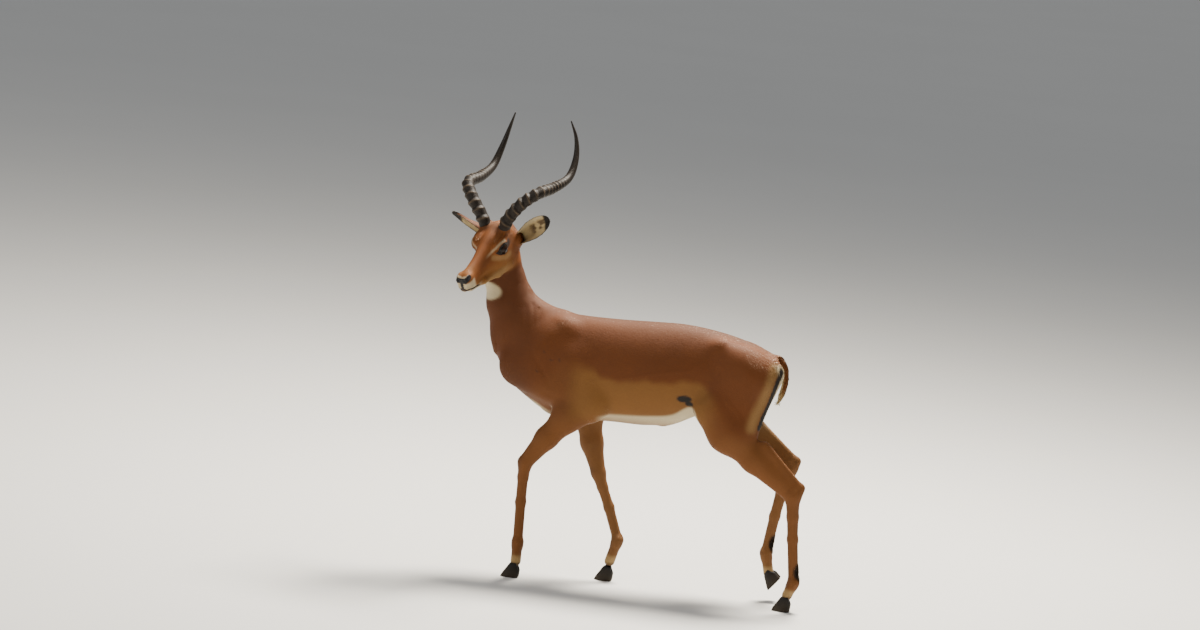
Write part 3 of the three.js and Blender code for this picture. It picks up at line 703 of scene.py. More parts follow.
FOLDS = (
    fold(7, 2.2, (-205, 40, 858), (-196, 62, 800), (-205, 74, 740), left_only=1),
    fold(6, 1.8, (-186, 38, 846), (-178, 60, 800), (-186, 74, 752), left_only=1),
    fold(6, 1.4, (-226, 52, 850), (-222, 66, 800), (-232, 74, 752), left_only=1),
    fold(18, 1.5, (-60, 84, 770), (-48, 98, 700), (-36, 104, 640), (-10, 96, 585)),
    fold(9, 2.0, (-190, 82, 720), (-150, 94, 665), (-120, 92, 620)),
    fold(8, 2.4, (-140, 86, 600), (-90, 92, 590), (-40, 96, 575)),
    fold(20, -2.0, (-140, 74, 780), (-180, 84, 720), (-225, 74, 670)),
    fold(10, 2.4, (388, 92, 730), (372, 100, 680), (352, 94, 630)),
    fold(9, 2.0, (520, 74, 720), (512, 92, 660), (500, 96, 610)),
    fold(5, -1.6, (430, 104, 640), (470, 104, 600), (510, 96, 540)),
    fold(4, -1.2, (300, 96, 720), (200, 108, 700), (90, 107, 670), (0, 101, 650)),
    fold(7, 1.8, (470, 88, 520), (540, 84, 470), (610, 78, 415)),
    fold(6, 1.6, (590, 78, 420), (634, 76, 396), (652, 74, 360)),
)


# ---------------------------------------------------------------- ears
@dataclass(frozen=True)
class EarSize:
    """One ear, a leaf rolled into a cup, in the head's frame."""

    root: tuple[float, float, float]
    tip: tuple[float, float, float]
    twist: float  # degrees that the cup turns about its own axis
    width: float = 60.0
    rim_forward: float = 12.0  # the rims, ahead of the line from root to tip, at the root
    wall: float = 2.6
    rows: int = 46
    arc: int = 34


EARS = {
    LEFT: EarSize((8, 42, -32), (4, 166, 62), -8),
    RIGHT: EarSize((14, 42, -46), (38, 166, 52), 28),
}


@dataclass
class EarShell:
    """The closed shell of one ear.

    Attributes:
        points: its places.
        quads: its faces.
        along: each point's share of the way to the tip.
        spread: each point's place across the cup, -1 to 1 from the lower rim to the upper one.
        inner: 1 on the hollow side.
        flow: the way its hair lies.
    """

    points: Array
    quads: Array
    along: Array
    spread: Array
    inner: Array
    flow: Array


def ear_shell(side: int) -> EarShell:
    """Returns the shell of the ear on one side."""
    size = EARS[side]
    root, tip = HEAD.place(size.root, side), HEAD.place(size.tip, side)
    axis = unit(tip - root)
    forward = HEAD.axes[0]
    opening = unit(forward - (forward @ axis) * axis)
    opening = np.array(Matrix.Rotation(math.radians(-side * size.twist), 3, Vector(axis))) @ opening
    across = np.cross(axis, opening)
    t = np.linspace(0, 1, size.rows) ** 0.9
    leaf = np.sqrt(np.clip(1 - ((t - 0.58) / 0.46) ** 2, 0, 1))
    open_part = mix(0.55, 1.0, np.clip(t / 0.45, 0, 1)) * np.where(t > 0.58, leaf, 1)
    half = size.width / 2 * np.maximum(open_part, 0.07) - 0.8
    bend = np.radians(mix(128, 46, np.clip(t * 1.5, 0, 1)))
    radius = half / np.sin(np.minimum(bend, math.pi / 2))
    reach = mix(size.rim_forward, 0, t) + radius * np.cos(bend)
    centre = root + t[:, None] * (tip - root) + reach[:, None] * opening

    turn = np.linspace(-1, 1, size.arc + 1)
    cup = np.concatenate([turn, turn[::-1]])
    inner = np.concatenate([np.zeros(size.arc + 1), np.ones(size.arc + 1)])
    thick = size.wall * np.sqrt(np.clip(1 - np.abs(cup) ** 6, 0.0, 1)) * 0.5 + 0.25
    ridges = 0.9 * np.cos(cup * 9.0) * (1 - cup**2) * inner
    angle = bend[:, None] * cup
    out = radius[:, None] + np.where(inner > 0, -thick - ridges, thick) * mix(1.2, 0.7, t)[:, None]
    points = (
        centre[:, None, :]
        - (out * np.cos(angle))[..., None] * opening
        + (out * np.sin(angle))[..., None] * across
    )
    around = len(cup)
    index = np.arange(size.rows * around).reshape(size.rows, around)
    a, b = index[:-1], index[1:]
    quads = np.stack([a, np.roll(a, -1, 1), np.roll(b, -1, 1), b], -1).reshape(-1, 4)
    n = size.arc
    caps = []
    for row, flip in ((index[0], True), (index[-1], False)):
        for k in range(n):
            strip = [row[k], row[k + 1], row[around - 2 - k], row[around - 1 - k]]
            caps.append(strip[::-1] if flip else strip)
    quads = np.concatenate([quads, np.array(caps)])[:, ::-1]
    spread = np.broadcast_to(cup * -side, (size.rows, around))
    away = spread[..., None] * across * -side * 0.35
    flow = unit(axis + away).reshape(-1, 3)
    return EarShell(
        points.reshape(-1, 3), quads, np.repeat(t, around), spread.reshape(-1),
        np.tile(inner, size.rows), flow,
    )


# ---------------------------------------------------------------- the skin's mesh
def mesh_from(name: str, points: Array, faces: Sequence[Sequence[int]]) -> bpy.types.Mesh:
    """Returns a mesh in metres in the row's frame from places in millimetres.

    Args:
        name: the mesh's name.
        points: places in the animal's own frame.
        faces: corners of each face.

    Returns:
        A smooth-shaded mesh.
    """
    mesh = bpy.data.meshes.new(name)
    mesh.from_pydata(((points + SHIFT) * MM).tolist(), [], [list(map(int, f)) for f in faces])
    mesh.shade_smooth()
    return mesh


def add_object(name: str, mesh: bpy.types.Mesh, material: bpy.types.Material) -> bpy.types.Object:
    """Returns an object at the origin with one mesh and one material."""
    made = bpy.data.objects.new(name, mesh)
    bpy.context.scene.collection.objects.link(made)
    mesh.materials.clear()
    mesh.materials.append(material)
    return made


def row_shift() -> Array:
    """Returns how far the row's frame lies from the animal's own, from the left eye's place."""
    low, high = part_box("eye_left")
    middle = (np.array(low) + np.array(high)) / 2 / MM
    return middle - HEAD.place(EYE.centre, LEFT)


SHIFT = row_shift()


def surface_net(low: Array, high: Array, step: float, field_of: Callable[[Array], Array]) -> tuple[Array, Array]:
    """Wraps a field of distance in even quads.

    Args:
        low: the lowest corner of the space that is searched.
        high: its highest corner.
        step: the size of a cell.
        field_of: the distance of each place, negative inside.

    Returns:
        The places and the quads, facing outwards.
    """
    axes = [np.arange(a, b + step, step) for a, b in zip(low, high)]
    values = np.empty([len(a) for a in axes], np.float32)
    for i, x in enumerate(axes[0]):
        grid = np.stack(np.meshgrid([x], axes[1], axes[2], indexing="ij"), -1).reshape(-1, 3)
        values[i] = field_of(grid).reshape(len(axes[1]), len(axes[2]))
    inside = values < 0
    nx, ny, nz = (n - 1 for n in values.shape)

    def corner(grid: Array, o: tuple[int, int, int]) -> Array:
        """Returns one corner of every cell."""
        return grid[o[0]:o[0] + nx, o[1]:o[1] + ny, o[2]:o[2] + nz]

    offsets = [(i, j, k) for i in (0, 1) for j in (0, 1) for k in (0, 1)]
    count = sum(corner(inside, o).astype(np.int8) for o in offsets)
    mixed = (count > 0) & (count < 8)
    cell = np.argwhere(mixed)
    total, hits = np.zeros((len(cell), 3)), np.zeros(len(cell))
    for a in offsets:
        for axis in range(3):
            if a[axis]:
                continue
            b = tuple(o + (1 if n == axis else 0) for n, o in enumerate(a))
            va = values[tuple((cell + a).T)]
            vb = values[tuple((cell + b).T)]
            crossed = (va < 0) != (vb < 0)
            t = np.where(crossed, va / np.where(crossed, va - vb, 1), 0)
            place = np.array(a, float)[None, :].repeat(len(cell), 0)
            place[:, axis] += t
            total += place * crossed[:, None]
            hits += crossed
    points = np.array([a[0] for a in axes]) + (cell + total / hits[:, None]) * step
    index = np.full(mixed.shape, -1)
    index[mixed] = np.arange(len(cell))
    quads = []
    for axis in range(3):
        one, two = (axis + 1) % 3, (axis + 2) % 3
        here = np.moveaxis(inside, (axis, one, two), (0, 1, 2))
        ids = np.moveaxis(index, (axis, one, two), (0, 1, 2))
        core = here[:, 1:-1, 1:-1]
        for start, flip in ((True, False), (False, True)):
            crossing = np.argwhere((core[:-1] == start) & (core[1:] != start))
            i, j, k = crossing.T
            ring = np.stack([ids[i, j, k], ids[i, j + 1, k], ids[i, j + 1, k + 1], ids[i, j, k + 1]], 1)
            quads.append(ring[:, ::-1] if flip else ring)
    return points, np.concatenate(quads)


class SkinMesh:
    """One closed skin over the body, head, legs and tail, without the ears."""

    cell = 5.6

    def __init__(self, flesh: Flesh) -> None:
        """Keeps the field that the skin follows."""
        self.flesh = flesh

    def relax(self, mesh: bpy.types.Mesh, points: Array, rounds: int, share: float) -> Array:
        """Evens out a mesh's places along its surface.

        Args:
            mesh: the mesh that gives the edges.
            points: its places.
            rounds: how many times.
            share: how far each place goes to the mean of its neighbours.

        Returns:
            The new places.
        """
        edges = np.empty(len(mesh.edges) * 2, int)
        mesh.edges.foreach_get("vertices", edges)
        a, b = edges.reshape(-1, 2).T
        count = np.bincount(a, minlength=len(points)) + np.bincount(b, minlength=len(points))
        for _ in range(rounds):
            total = np.zeros_like(points)
            for axis in range(3):
                total[:, axis] = np.bincount(a, points[b, axis], len(points))
                total[:, axis] += np.bincount(b, points[a, axis], len(points))
            points = mix(points, total / count[:, None], share)
        return points

    def refine(self, points: Array, faces: list, where: Callable[[Array], Array]) -> tuple[Array, list]:
        """Splits the faces in one area into four.

        Args:
            points: the places.
            faces: the faces.
            where: says for each place whether its faces are split.

        Returns:
            The new places and faces.
        """
        mesh = bpy.data.meshes.new("refined")
        mesh.from_pydata(points.tolist(), [], faces)
        chosen = where(points)
        work = bmesh.new()
        work.from_mesh(mesh)
        edges = [e for e in work.edges if chosen[e.verts[0].index] and chosen[e.verts[1].index]]
        bmesh.ops.subdivide_edges(work, edges=edges, cuts=1, use_grid_fill=True)
        work.to_mesh(mesh)
        work.free()
        found = np.empty(len(mesh.vertices) * 3)
        mesh.vertices.foreach_get("co", found)
        points = self.relax(mesh, found.reshape(-1, 3), 1, 0.3)
        faces = [tuple(f.vertices) for f in mesh.polygons]
        bpy.data.meshes.remove(mesh)
        return points, faces

    def areas(self) -> list[Callable[[Array], Array]]:
        """Returns the tests for the areas that are split, one after another."""
        def head(p: Array) -> Array:
            """Chooses the head."""
            q = HEAD.local(p)
            return (q[:, 0] > -30) & (p[:, 2] > 890) & (p[:, 0] < -235) & (q[:, 2] > -110)

        def face(p: Array) -> Array:
            """Chooses what is round the eyes, the nose and the mouth."""
            q = HEAD.local(p)
            eye = np.linalg.norm(np.column_stack([q[:, 0], np.abs(q[:, 1]), q[:, 2]]) - EYE.centre, axis=1) < 38
            muzzle = (q[:, 0] > 215) & (q[:, 2] > -90) & (p[:, 2] > 860)
            return head(p) & (eye | muzzle)

        def rims(p: Array) -> Array:
            """Chooses the rims of the lids and nostrils."""
            q = HEAD.local(p)
            q[:, 1] = np.abs(q[:, 1])
            lids = (np.abs(EYE.opening(q)[0]) < 4.5) & (np.linalg.norm(q - EYE.centre, axis=1) < 27)
            return head(p) & (lids | (groove(q, NOSTRIL, 5.0) > 0.25))

        return [head, face, rims]

    def build(self) -> tuple[Array, list, Array]:
        """Returns the skin's places, faces and directions, without the ears."""
        boxes = [s.box() for s in self.flesh.shapes]
        low = np.min([b[0] for b in boxes], axis=0) - 12
        high = np.max([b[1] for b in boxes], axis=0) + 12
        points, quads = surface_net(low, high, self.cell, lambda p: self.flesh.bare(p) + self.flesh.coat_depth(p))
        faces = [tuple(map(int, q)) for q in quads]
        for area in self.areas():
            points, faces = self.refine(points, faces, area)
            points = self.flesh.settle(points, 1)
        points = self.flesh.settle(points, 1)
        mesh = bpy.data.meshes.new("relaxed")
        mesh.from_pydata(points.tolist(), [], faces)
        points = self.relax(mesh, points, 2, 0.35)
        bpy.data.meshes.remove(mesh)
        points = self.flesh.settle(points, 2)
        return points, faces, unit(self.flesh.gradient(points, self.flesh.distance))


# ---------------------------------------------------------------- markings
@dataclass(frozen=True)
class Palette:
    """The colours of the coat and skin, as linear red, green and blue."""

    saddle: Colour = (0.104, 0.027, 0.002)
    neck: Colour = (0.082, 0.021, 0.002)
    flank: Colour = (0.160, 0.066, 0.012)
    leg: Colour = (0.130, 0.043, 0.006)
    thigh: Colour = (0.120, 0.034, 0.004)
    cream: Colour = (0.340, 0.225, 0.090)
    # painted reflection: this white's warm yellow tint stands for light thrown up from grass, over the hair's own white
    white: Colour = (0.480, 0.400, 0.250)
    black: Colour = (0.008, 0.006, 0.005)
    brown: Colour = (0.040, 0.016, 0.006)
    face: Colour = (0.165, 0.046, 0.005)
    cheek: Colour = (0.205, 0.080, 0.014)
    leather: Colour = (0.008, 0.007, 0.007)
    ear_grey: Colour = (0.360, 0.270, 0.135)


PAINT = Palette()


def near_line(p: Array, line: Array, inner: float, outer: float) -> Array:
    """Returns 1 within inner of a line, falling to 0 at outer."""
    return smoothstep(from_line(p, line), outer, inner)


def near_spot(p: Array, centre: Sequence[float], half: Sequence[float], edge: float = 0.3) -> Array:
    """Returns 1 inside an oval spot, falling to 0 over its edge, as a share of its size."""
    ratio = np.linalg.norm((p - np.asarray(centre, float)) / np.asarray(half, float), axis=1)
    return smoothstep(ratio, 1 + edge, 1 - edge)


def dye(colour: Array, paint: Colour, share: Array) -> Array:
    """Returns colours mixed with a paint by each place's share."""
    return mix(colour, np.array(paint), share[:, None])


@dataclass
class Markings:
    """The ram's colours, place by place."""

    flesh: Flesh
    body: Body
    saddle_edge: tuple = (
        (-330, 560), (-240, 575), (-150, 630), (-95, 682), (-40, 694), (4, 684), (38, 664),
        (120, 666), (221, 674), (346, 680), (392, 640), (440, 560), (520, 470), (620, 420),
    )  # x, z of the lower edge of the dark back
    belly_edge: tuple = (
        (-320, 600), (-200, 552), (-110, 552), (13, 543), (60, 548), (195, 560), (262, 572),
        (310, 602), (332, 596), (356, 540), (400, 505), (560, 450),
    )  # x, z of the upper edge of the white belly
    ham_stripe: tuple = (
        (586, 50, 750), (581, 57, 732), (573, 64, 707), (565, 67, 672), (555, 69, 637), (543, 78, 599),
        (536, 84, 566),
    )
    brow_line: tuple = ((92, 54, 23), (112, 50, 22), (130, 42, 14), (148, 32, 4), (168, 22, -4))
    under_eye: tuple = ((142, 36, -16), (122, 44, -28), (98, 48, -38), (76, 50, -38))

    def on_skin(self, places: Sequence[tuple], on_head: bool = False) -> Array:
        """Returns a line that lies on the left side of the skin, in short steps.

        Args:
            places: the line's corners, given by their distance from the midline.
            on_head: whether they, and the line given back, are in the head's frame.

        Returns:
            The line, with its distances from the midline.
        """
        corners = np.array(places, float)
        steps = np.concatenate([mix(a, b, np.linspace(0, 1, 6)[:, None]) for a, b in zip(corners, corners[1:])])
        if on_head:
            line = HEAD.local(self.flesh.settle(HEAD.place(steps, LEFT), 4))
        else:
            line = self.flesh.settle(steps * np.array([1.0, LEFT, 1.0]), 4)
        line[:, 1] = np.abs(line[:, 1])
        return line

    def gland(self, side: int) -> Array:
        """Returns the middle of the black tuft above a hind fetlock."""
        j = self.body.hindleg[side]
        fetlock, cannon = outward(j["fetlock"], side), outward(j["cannon"], side)
        up = unit(cannon - fetlock)
        back = unit(np.cross(up, [0.0, 1.0, 0.0]))
        back = back if back[0] > 0 else -back
        return fetlock + up * 38 + back * 15

    def trunk(self, p: Array, n: Array) -> Array:
        """Returns the colours of the trunk, neck and thighs."""
        q = np.column_stack([p[:, 0], np.abs(p[:, 1]), p[:, 2]])
        edge = Profile(np.array(self.saddle_edge, float))(q[:, 0])[:, 0]
        edge = edge + 3.0 * np.sin(q[:, 0] * 0.047) + 2.0 * np.sin(q[:, 0] * 0.113 + 1.0)
        belly = Profile(np.array(self.belly_edge, float))(q[:, 0])[:, 0]
        ends = smoothstep(q[:, 0], 60, -120) + smoothstep(q[:, 0], 330, 470)
        soft = mix(13.0, 46.0, np.clip(ends, 0, 1))
        colour = np.broadcast_to(np.array(PAINT.flank), p.shape).copy()
        lower_ends = smoothstep(q[:, 0], -15, -85)
        colour = dye(colour, mix(np.array(PAINT.leg), np.array(PAINT.neck), 0.45), lower_ends)
        colour = dye(colour, PAINT.thigh, 0.9 * smoothstep(q[:, 0], 345, 420))
        colour = dye(colour, PAINT.saddle, smoothstep(q[:, 2], edge - soft, edge + soft))
        colour = dye(colour, PAINT.neck, 0.8 * smoothstep(q[:, 0], -150, -230))
        ridge = smoothstep(q[:, 1], 34, 8) * smoothstep(n[:, 2], 0.3, 0.8) * smoothstep(q[:, 2], 780, 815)
        colour = dye(colour, PAINT.brown, 0.35 * ridge * smoothstep(q[:, 0], -150, 0))
        below = smoothstep(q[:, 2], belly + 7, belly - 7)
        below = below * mix(smoothstep(q[:, 1], 92, 74), 1.0, smoothstep(q[:, 0], 20, 60))
        between_legs = smoothstep(q[:, 0], 70, -30)
        below = below * mix(1.0, smoothstep(n[:, 1] * np.sign(p[:, 1]), 0.55, 0.1), between_legs)
        colour = dye(colour, PAINT.white, below * smoothstep(q[:, 0], -240, -150))
        chest = smoothstep(q[:, 1], 46, 26) * smoothstep(q[:, 2], 606, 570) * smoothstep(q[:, 0], -210, -160)
        colour = dye(colour, PAINT.white, chest)
        breast = smoothstep(q[:, 2], 700, 600) * smoothstep(q[:, 0], -150, -240)
        return dye(colour, PAINT.brown, 0.25 * breast)

    def hams(self, p: Array, n: Array, colour: Array) -> Array:
        """Adds the black stripes, the pale bands and the white between the hams."""
        q = np.column_stack([p[:, 0], np.abs(p[:, 1]), p[:, 2]])
        line = self.on_skin(self.ham_stripe)
        band = self.on_skin(np.array(self.ham_stripe) + np.array([-26.0, 9.0, 0.0]))
        behind = smoothstep(n[:, 0], 0.1, 0.55) * smoothstep(q[:, 0], 505, 530)
        between_hams = behind * smoothstep(q[:, 1], 66, 54) * smoothstep(q[:, 2], 768, 752)
        inside = smoothstep(n[:, 1] * np.sign(p[:, 1]), -0.25, -0.6) * smoothstep(q[:, 2], 690, 640)
        inside = inside * smoothstep(q[:, 0], 350, 400) * smoothstep(q[:, 2], 515, 620)
        colour = dye(colour, mix(np.array(PAINT.flank), np.array(PAINT.cream), 0.3), 0.9 * near_line(q, band, 2, 30))
        colour = dye(colour, PAINT.white, np.clip(between_hams + 0.8 * inside, 0, 1))
        return dye(colour, PAINT.black, near_line(q, line, 7.5, 10.0))

    def spots(self, p: Array, colour: Array) -> Array:
        """Adds the black oval at the flank fold with its brown rim, and the few dark flecks on the shoulder."""
        q = np.column_stack([p[:, 0], np.abs(p[:, 1]), p[:, 2]])
        colour = dye(colour, PAINT.black, near_spot(q, (296, 90, 629), (23, 26, 11.5), 0.16))
        colour = dye(colour, PAINT.black, near_spot(q, (312, 90, 614), (13, 26, 9), 0.2))
        rim = np.array([(318, 90, 610), (328, 86, 590), (330, 84, 574)], float)
        colour = dye(colour, PAINT.brown, 0.8 * near_line(q, rim, 1.5, 6))
        for place, size in (((-167, 84, 662), 5), ((-126, 96, 702), 3.5), ((-99, 98, 704), 4), ((-150, 90, 724), 3)):
            fleck = near_spot(p, outward(place, LEFT), (size, 30, size * 0.8), 0.4)
            colour = dye(colour, PAINT.brown, 0.75 * fleck)
        return colour

    def legs(self, p: Array, n: Array, colour: Array) -> Array:
        """Adds the colours of the legs, below the elbows and the stifles."""
        side = np.sign(p[:, 1])
        inward = smoothstep(n[:, 1] * side, 0.05, -0.6)
        low = smoothstep(p[:, 2], 560, 500)
        colour = dye(colour, PAINT.leg, low)
        inner_leg = inward * smoothstep(p[:, 2], 590, 520) * smoothstep(p[:, 2], 20, 60)
        colour = dye(colour, PAINT.cream, inner_leg * mix(0.10, 0.30, smoothstep(p[:, 2], 470, 560)))
        front = smoothstep(n[:, 0], -0.55, -0.9) * smoothstep(p[:, 2], 420, 340)
        colour = dye(colour, PAINT.brown, 0.4 * front)
        for legs in (self.body.foreleg, self.body.hindleg):
            for s in (LEFT, RIGHT):
                coronet = outward(legs[s]["coronet"], s)
                ring = near_spot(p, coronet + np.array([0, 0, 4]), (32, 30, 18), 0.35)
                colour = dye(colour, PAINT.cream, 0.75 * ring)
                dark = near_spot(p, coronet + np.array([0, 0, -12]), (34, 30, 11), 0.3)
                colour = dye(colour, PAINT.brown, 0.7 * dark)
        for s in (LEFT, RIGHT):
            knee = outward(self.body.foreleg[s]["knee"], s)
            scuff = near_spot(p, knee + np.array([-18, 0, 0]), (16, 18, 26), 0.5)
            colour = dye(colour, PAINT.brown, 0.35 * scuff)
            colour = dye(colour, PAINT.black, near_spot(p, self.gland(s), (17, 17, 27), 0.18))
        return colour

    def tail(self, p: Array, n: Array) -> Array:
        """Returns the colours of the tail: dark down its middle, pale below and at the sides."""
        colour = np.broadcast_to(np.array(PAINT.saddle), p.shape).copy()
        colour = dye(colour, PAINT.cream, 0.8 * smoothstep(p[:, 2], 690, 665))
        under = smoothstep(n[:, 0], -0.25, -0.65) * smoothstep(p[:, 2], 775, 750)
        colour = dye(colour, PAINT.white, under)
        stripe = smoothstep(np.abs(p[:, 1]), 6.0, 3.5) * smoothstep(n[:, 0], 0.0, 0.3)
        colour = dye(colour, PAINT.black, stripe * smoothstep(p[:, 2], 800, 770))
        return dye(colour, PAINT.white, smoothstep(p[:, 2], 662, 648))

    def head(self, q: Array, n: Array) -> Array:
        """Returns the colours of the head.

        Args:
            q: places in the head's frame, with the second number outwards.
            n: directions in the same frame; not used.

        Returns:
            One colour for each place.
        """
        f, o, u = q.T
        colour = np.broadcast_to(np.array(PAINT.face), q.shape).copy()
        low = smoothstep(u, -22, -50) * smoothstep(f, 40, 90)
        colour = dye(colour, PAINT.cheek, 0.75 * low)
        colour = dye(colour, PAINT.cream, 0.5 * smoothstep(u, -58, -72) * smoothstep(f, 60, 130))
        colour = dye(colour, PAINT.cheek, 0.45 * smoothstep(f, 196, 235) * smoothstep(u, -26, 0))
        streaks = 0.5 + 0.5 * np.sin(o * 0.9 + np.sin(f * 0.11) * 1.4)
        brow = smoothstep(u, 14, 30) * smoothstep(f, 150, 120) * smoothstep(f, 50, 70)
        colour = dye(colour, PAINT.brown, 0.42 * brow * streaks)
        crown = near_spot(q, (62, 14, 48), (24, 22, 20), 0.6)
        colour = dye(colour, PAINT.brown, 0.55 * crown)
        temple = near_spot(q, (52, 46, 8), (26, 24, 26), 0.45)
        colour = dye(colour, PAINT.brown, 0.5 * temple)
        # painted shade: the side of the nose bridge in front of the eye is darkened as if in shadow
        painted_side_shade = near_spot(q, (176, 24, -8), (34, 16, 13), 0.6)
        colour = dye(colour, PAINT.saddle, 0.6 * painted_side_shade)
        fade = smoothstep(f, 172, 132)
        brow_line = near_line(q, self.on_skin(self.brow_line, True), 0.5, 6.5)
        colour = dye(colour, PAINT.white, 0.52 * brow_line * fade)
        below = near_line(q, self.on_skin(self.under_eye, True), 2.0, 14.0)
        colour = dye(colour, PAINT.cream, 0.42 * below)
        return self.muzzle(q, n, self.eye_skin(q, colour))

    def eye_skin(self, q: Array, colour: Array) -> Array:
        """Adds the dark skin of the lids and the patch behind them."""
        almond, _, out = EYE.opening(q)
        near = smoothstep(out, 42, 34)
        ring = smoothstep(almond, 10.5, 7.5) * near
        back = near_spot(q, (78, 46, -2), (22, 24, 15), 0.3)
        front = near_line(q, np.array([(122, 46, -3), (136, 40, -7)], float), 3.5, 6.5)
        return dye(colour, PAINT.leather, np.clip(ring + 0.9 * back + front, 0, 1))

    def muzzle(self, q: Array, n: Array, colour: Array) -> Array:
        """Adds the nose's leather, the pale rims, the lips and the chin."""
        f, o, u = q.T
        tip = smoothstep(f, 236, 250)
        colour = dye(colour, PAINT.white, 0.9 * tip * smoothstep(u, -18, -26))
        rim = near_line(q, NOSTRIL + np.array([-4.0, 2.0, 9.0]), 5.0, 9.5)
        colour = dye(colour, PAINT.white, 0.75 * rim)
        colour = dye(colour, PAINT.white, 0.8 * smoothstep(u, -50, -58) * smoothstep(f, 205, 235))
        colour = dye(colour, PAINT.leather, self.nose_leather(q))
        mouth = near_line(q, MOUTH, 2.0, 4.0)
        lip = near_line(q, MOUTH[:3] + np.array([0.0, 0.0, -3.0]), 2.4, 4.2)
        return dye(colour, PAINT.leather, np.clip(mouth + 0.85 * lip, 0, 1))

    def nose_leather(self, q: Array) -> Array:
        """Returns 1 on the bare leather of the nostrils, between them and down to the lip."""
        slit = near_line(q, NOSTRIL, 7.5, 9.5)
        strip = near_line(q, PHILTRUM, 4.0, 6.5)
        pad = near_spot(q, (279, 0, -15), (14, 13, 8.0), 0.2)
        return np.clip(slit + strip + pad, 0, 1)

    def ear(self, ear: EarShell) -> Array:
        """Returns the colours of an ear: grey and mottled inside, rufous behind, tipped with black."""
        back = np.broadcast_to(np.array(PAINT.saddle), ear.points.shape).copy()
        back = dye(back, PAINT.cream, 0.5 * smoothstep(ear.along, 0.3, 0.0))
        cup = np.broadcast_to(np.array(PAINT.ear_grey), ear.points.shape).copy()
        places = np.column_stack([ear.along * 7.0, ear.spread * 3.4, np.full(len(ear.along), 2.7)])
        mottle = np.array([blender_noise.noise(Vector(v)) for v in places])
        middle = smoothstep(np.abs(ear.spread - 0.05), 0.62, 0.25) * smoothstep(ear.along, 0.2, 0.45)
        cup = dye(cup, PAINT.brown, 0.85 * middle * smoothstep(mottle, -0.2, 0.3))
        cup = dye(cup, PAINT.white, 0.55 * smoothstep(ear.spread, -0.35, -0.8))
        cup = dye(cup, PAINT.brown, 0.8 * smoothstep(ear.along, 0.14, 0.0))
        colour = mix(back, cup, ear.inner[:, None])
        rim = smoothstep(np.abs(ear.spread), 0.9, 0.975)
        upper = np.where(ear.spread > 0, 1.0, 0.65)
        colour = dye(colour, PAINT.black, rim * upper * smoothstep(ear.along, 0.12, 0.25))
        tip = smoothstep(ear.along + 0.10 * ear.spread, 0.80, 0.87)
        return dye(colour, PAINT.black, tip)

    def skin(self, p: Array, n: Array, region: Array) -> Array:
        """Returns the colours of the skin, place by place."""
        colour = self.spots(p, self.hams(p, n, self.trunk(p, n)))
        colour = mix(colour, self.legs(p, n, colour), smoothstep(p[:, 2], 600, 560)[:, None])
        on_tail = (region == Region.TAIL.value) & (p[:, 0] > 556)
        colour[on_tail] = self.tail(p[on_tail], n[on_tail])
        neck = smoothstep(p[:, 2], 790, 850) * smoothstep(p[:, 0], -170, -235)
        colour = dye(colour, PAINT.neck, neck)
        bib = near_spot(p, (-352, -26, 884), (50, 48, 28), 0.16)
        colour = dye(colour, PAINT.white, bib)
        q, d = HEAD.local(p), n @ HEAD.axes.T
        on_head = smoothstep(q[:, 0], -6, 34) * smoothstep(p[:, 2], 880, 915) * (q[:, 2] > -125)
        q[:, 1], d[:, 1] = np.abs(q[:, 1]), d[:, 1] * np.sign(q[:, 1])
        throat = smoothstep(q[:, 2], -84, -104) * smoothstep(p[:, 2], 900, 915)
        on_head = on_head * (1 - throat * smoothstep(q[:, 0], 150, 120))
        close = np.flatnonzero(on_head > 0)
        colour[close] = mix(colour[close], self.head(q[close], d[close]), on_head[close, None])
        return colour


# ---------------------------------------------------------------- node trees
class Nodes:
    """Makes and links the nodes of one tree."""

    def __init__(self, tree: bpy.types.NodeTree) -> None:
        """Keeps the tree."""
        self.tree = tree

    def node(self, kind: str, settings: dict | None = None, inputs: dict | None = None) -> bpy.types.Node:
        """Makes a node.

        Args:
            kind: the node's type.
            settings: its properties, set before its inputs.
            inputs: a value, a socket or a Number for each input, by name or by number.

        Returns:
            The node.
        """
        made = self.tree.nodes.new(kind)
        for name, value in (settings or {}).items():
            setattr(made, name, value)
        for name, value in (inputs or {}).items():
            target = made.inputs[name]
            if isinstance(value, Number):
                value = value.socket
            if isinstance(value, bpy.types.NodeSocket):
                self.tree.links.new(value, target)
            else:
                target.default_value = value
        return made

    def mix_colours(self, a: object, b: object, share: object) -> bpy.types.NodeSocket:
        """Returns a where share is 0 and b where it is 1."""
        made = self.node("ShaderNodeMix", {"data_type": "RGBA"}, {"Factor": share, 6: a, 7: b})
        return made.outputs[2]

    def vector(self, operation: str, *values: object) -> bpy.types.NodeSocket:
        """Returns the result of one vector operation."""
        return self.node("ShaderNodeVectorMath", {"operation": operation}, dict(enumerate(values))).outputs[0]

    def scaled(self, value: object, by: object) -> bpy.types.NodeSocket:
        """Returns a vector times a number."""
        return self.node("ShaderNodeVectorMath", {"operation": "SCALE"}, {0: value, "Scale": by}).outputs[0]

    def number(self, socket: bpy.types.NodeSocket) -> "Number":
        """Returns a socket that takes sums and products."""
        return Number(self, socket)


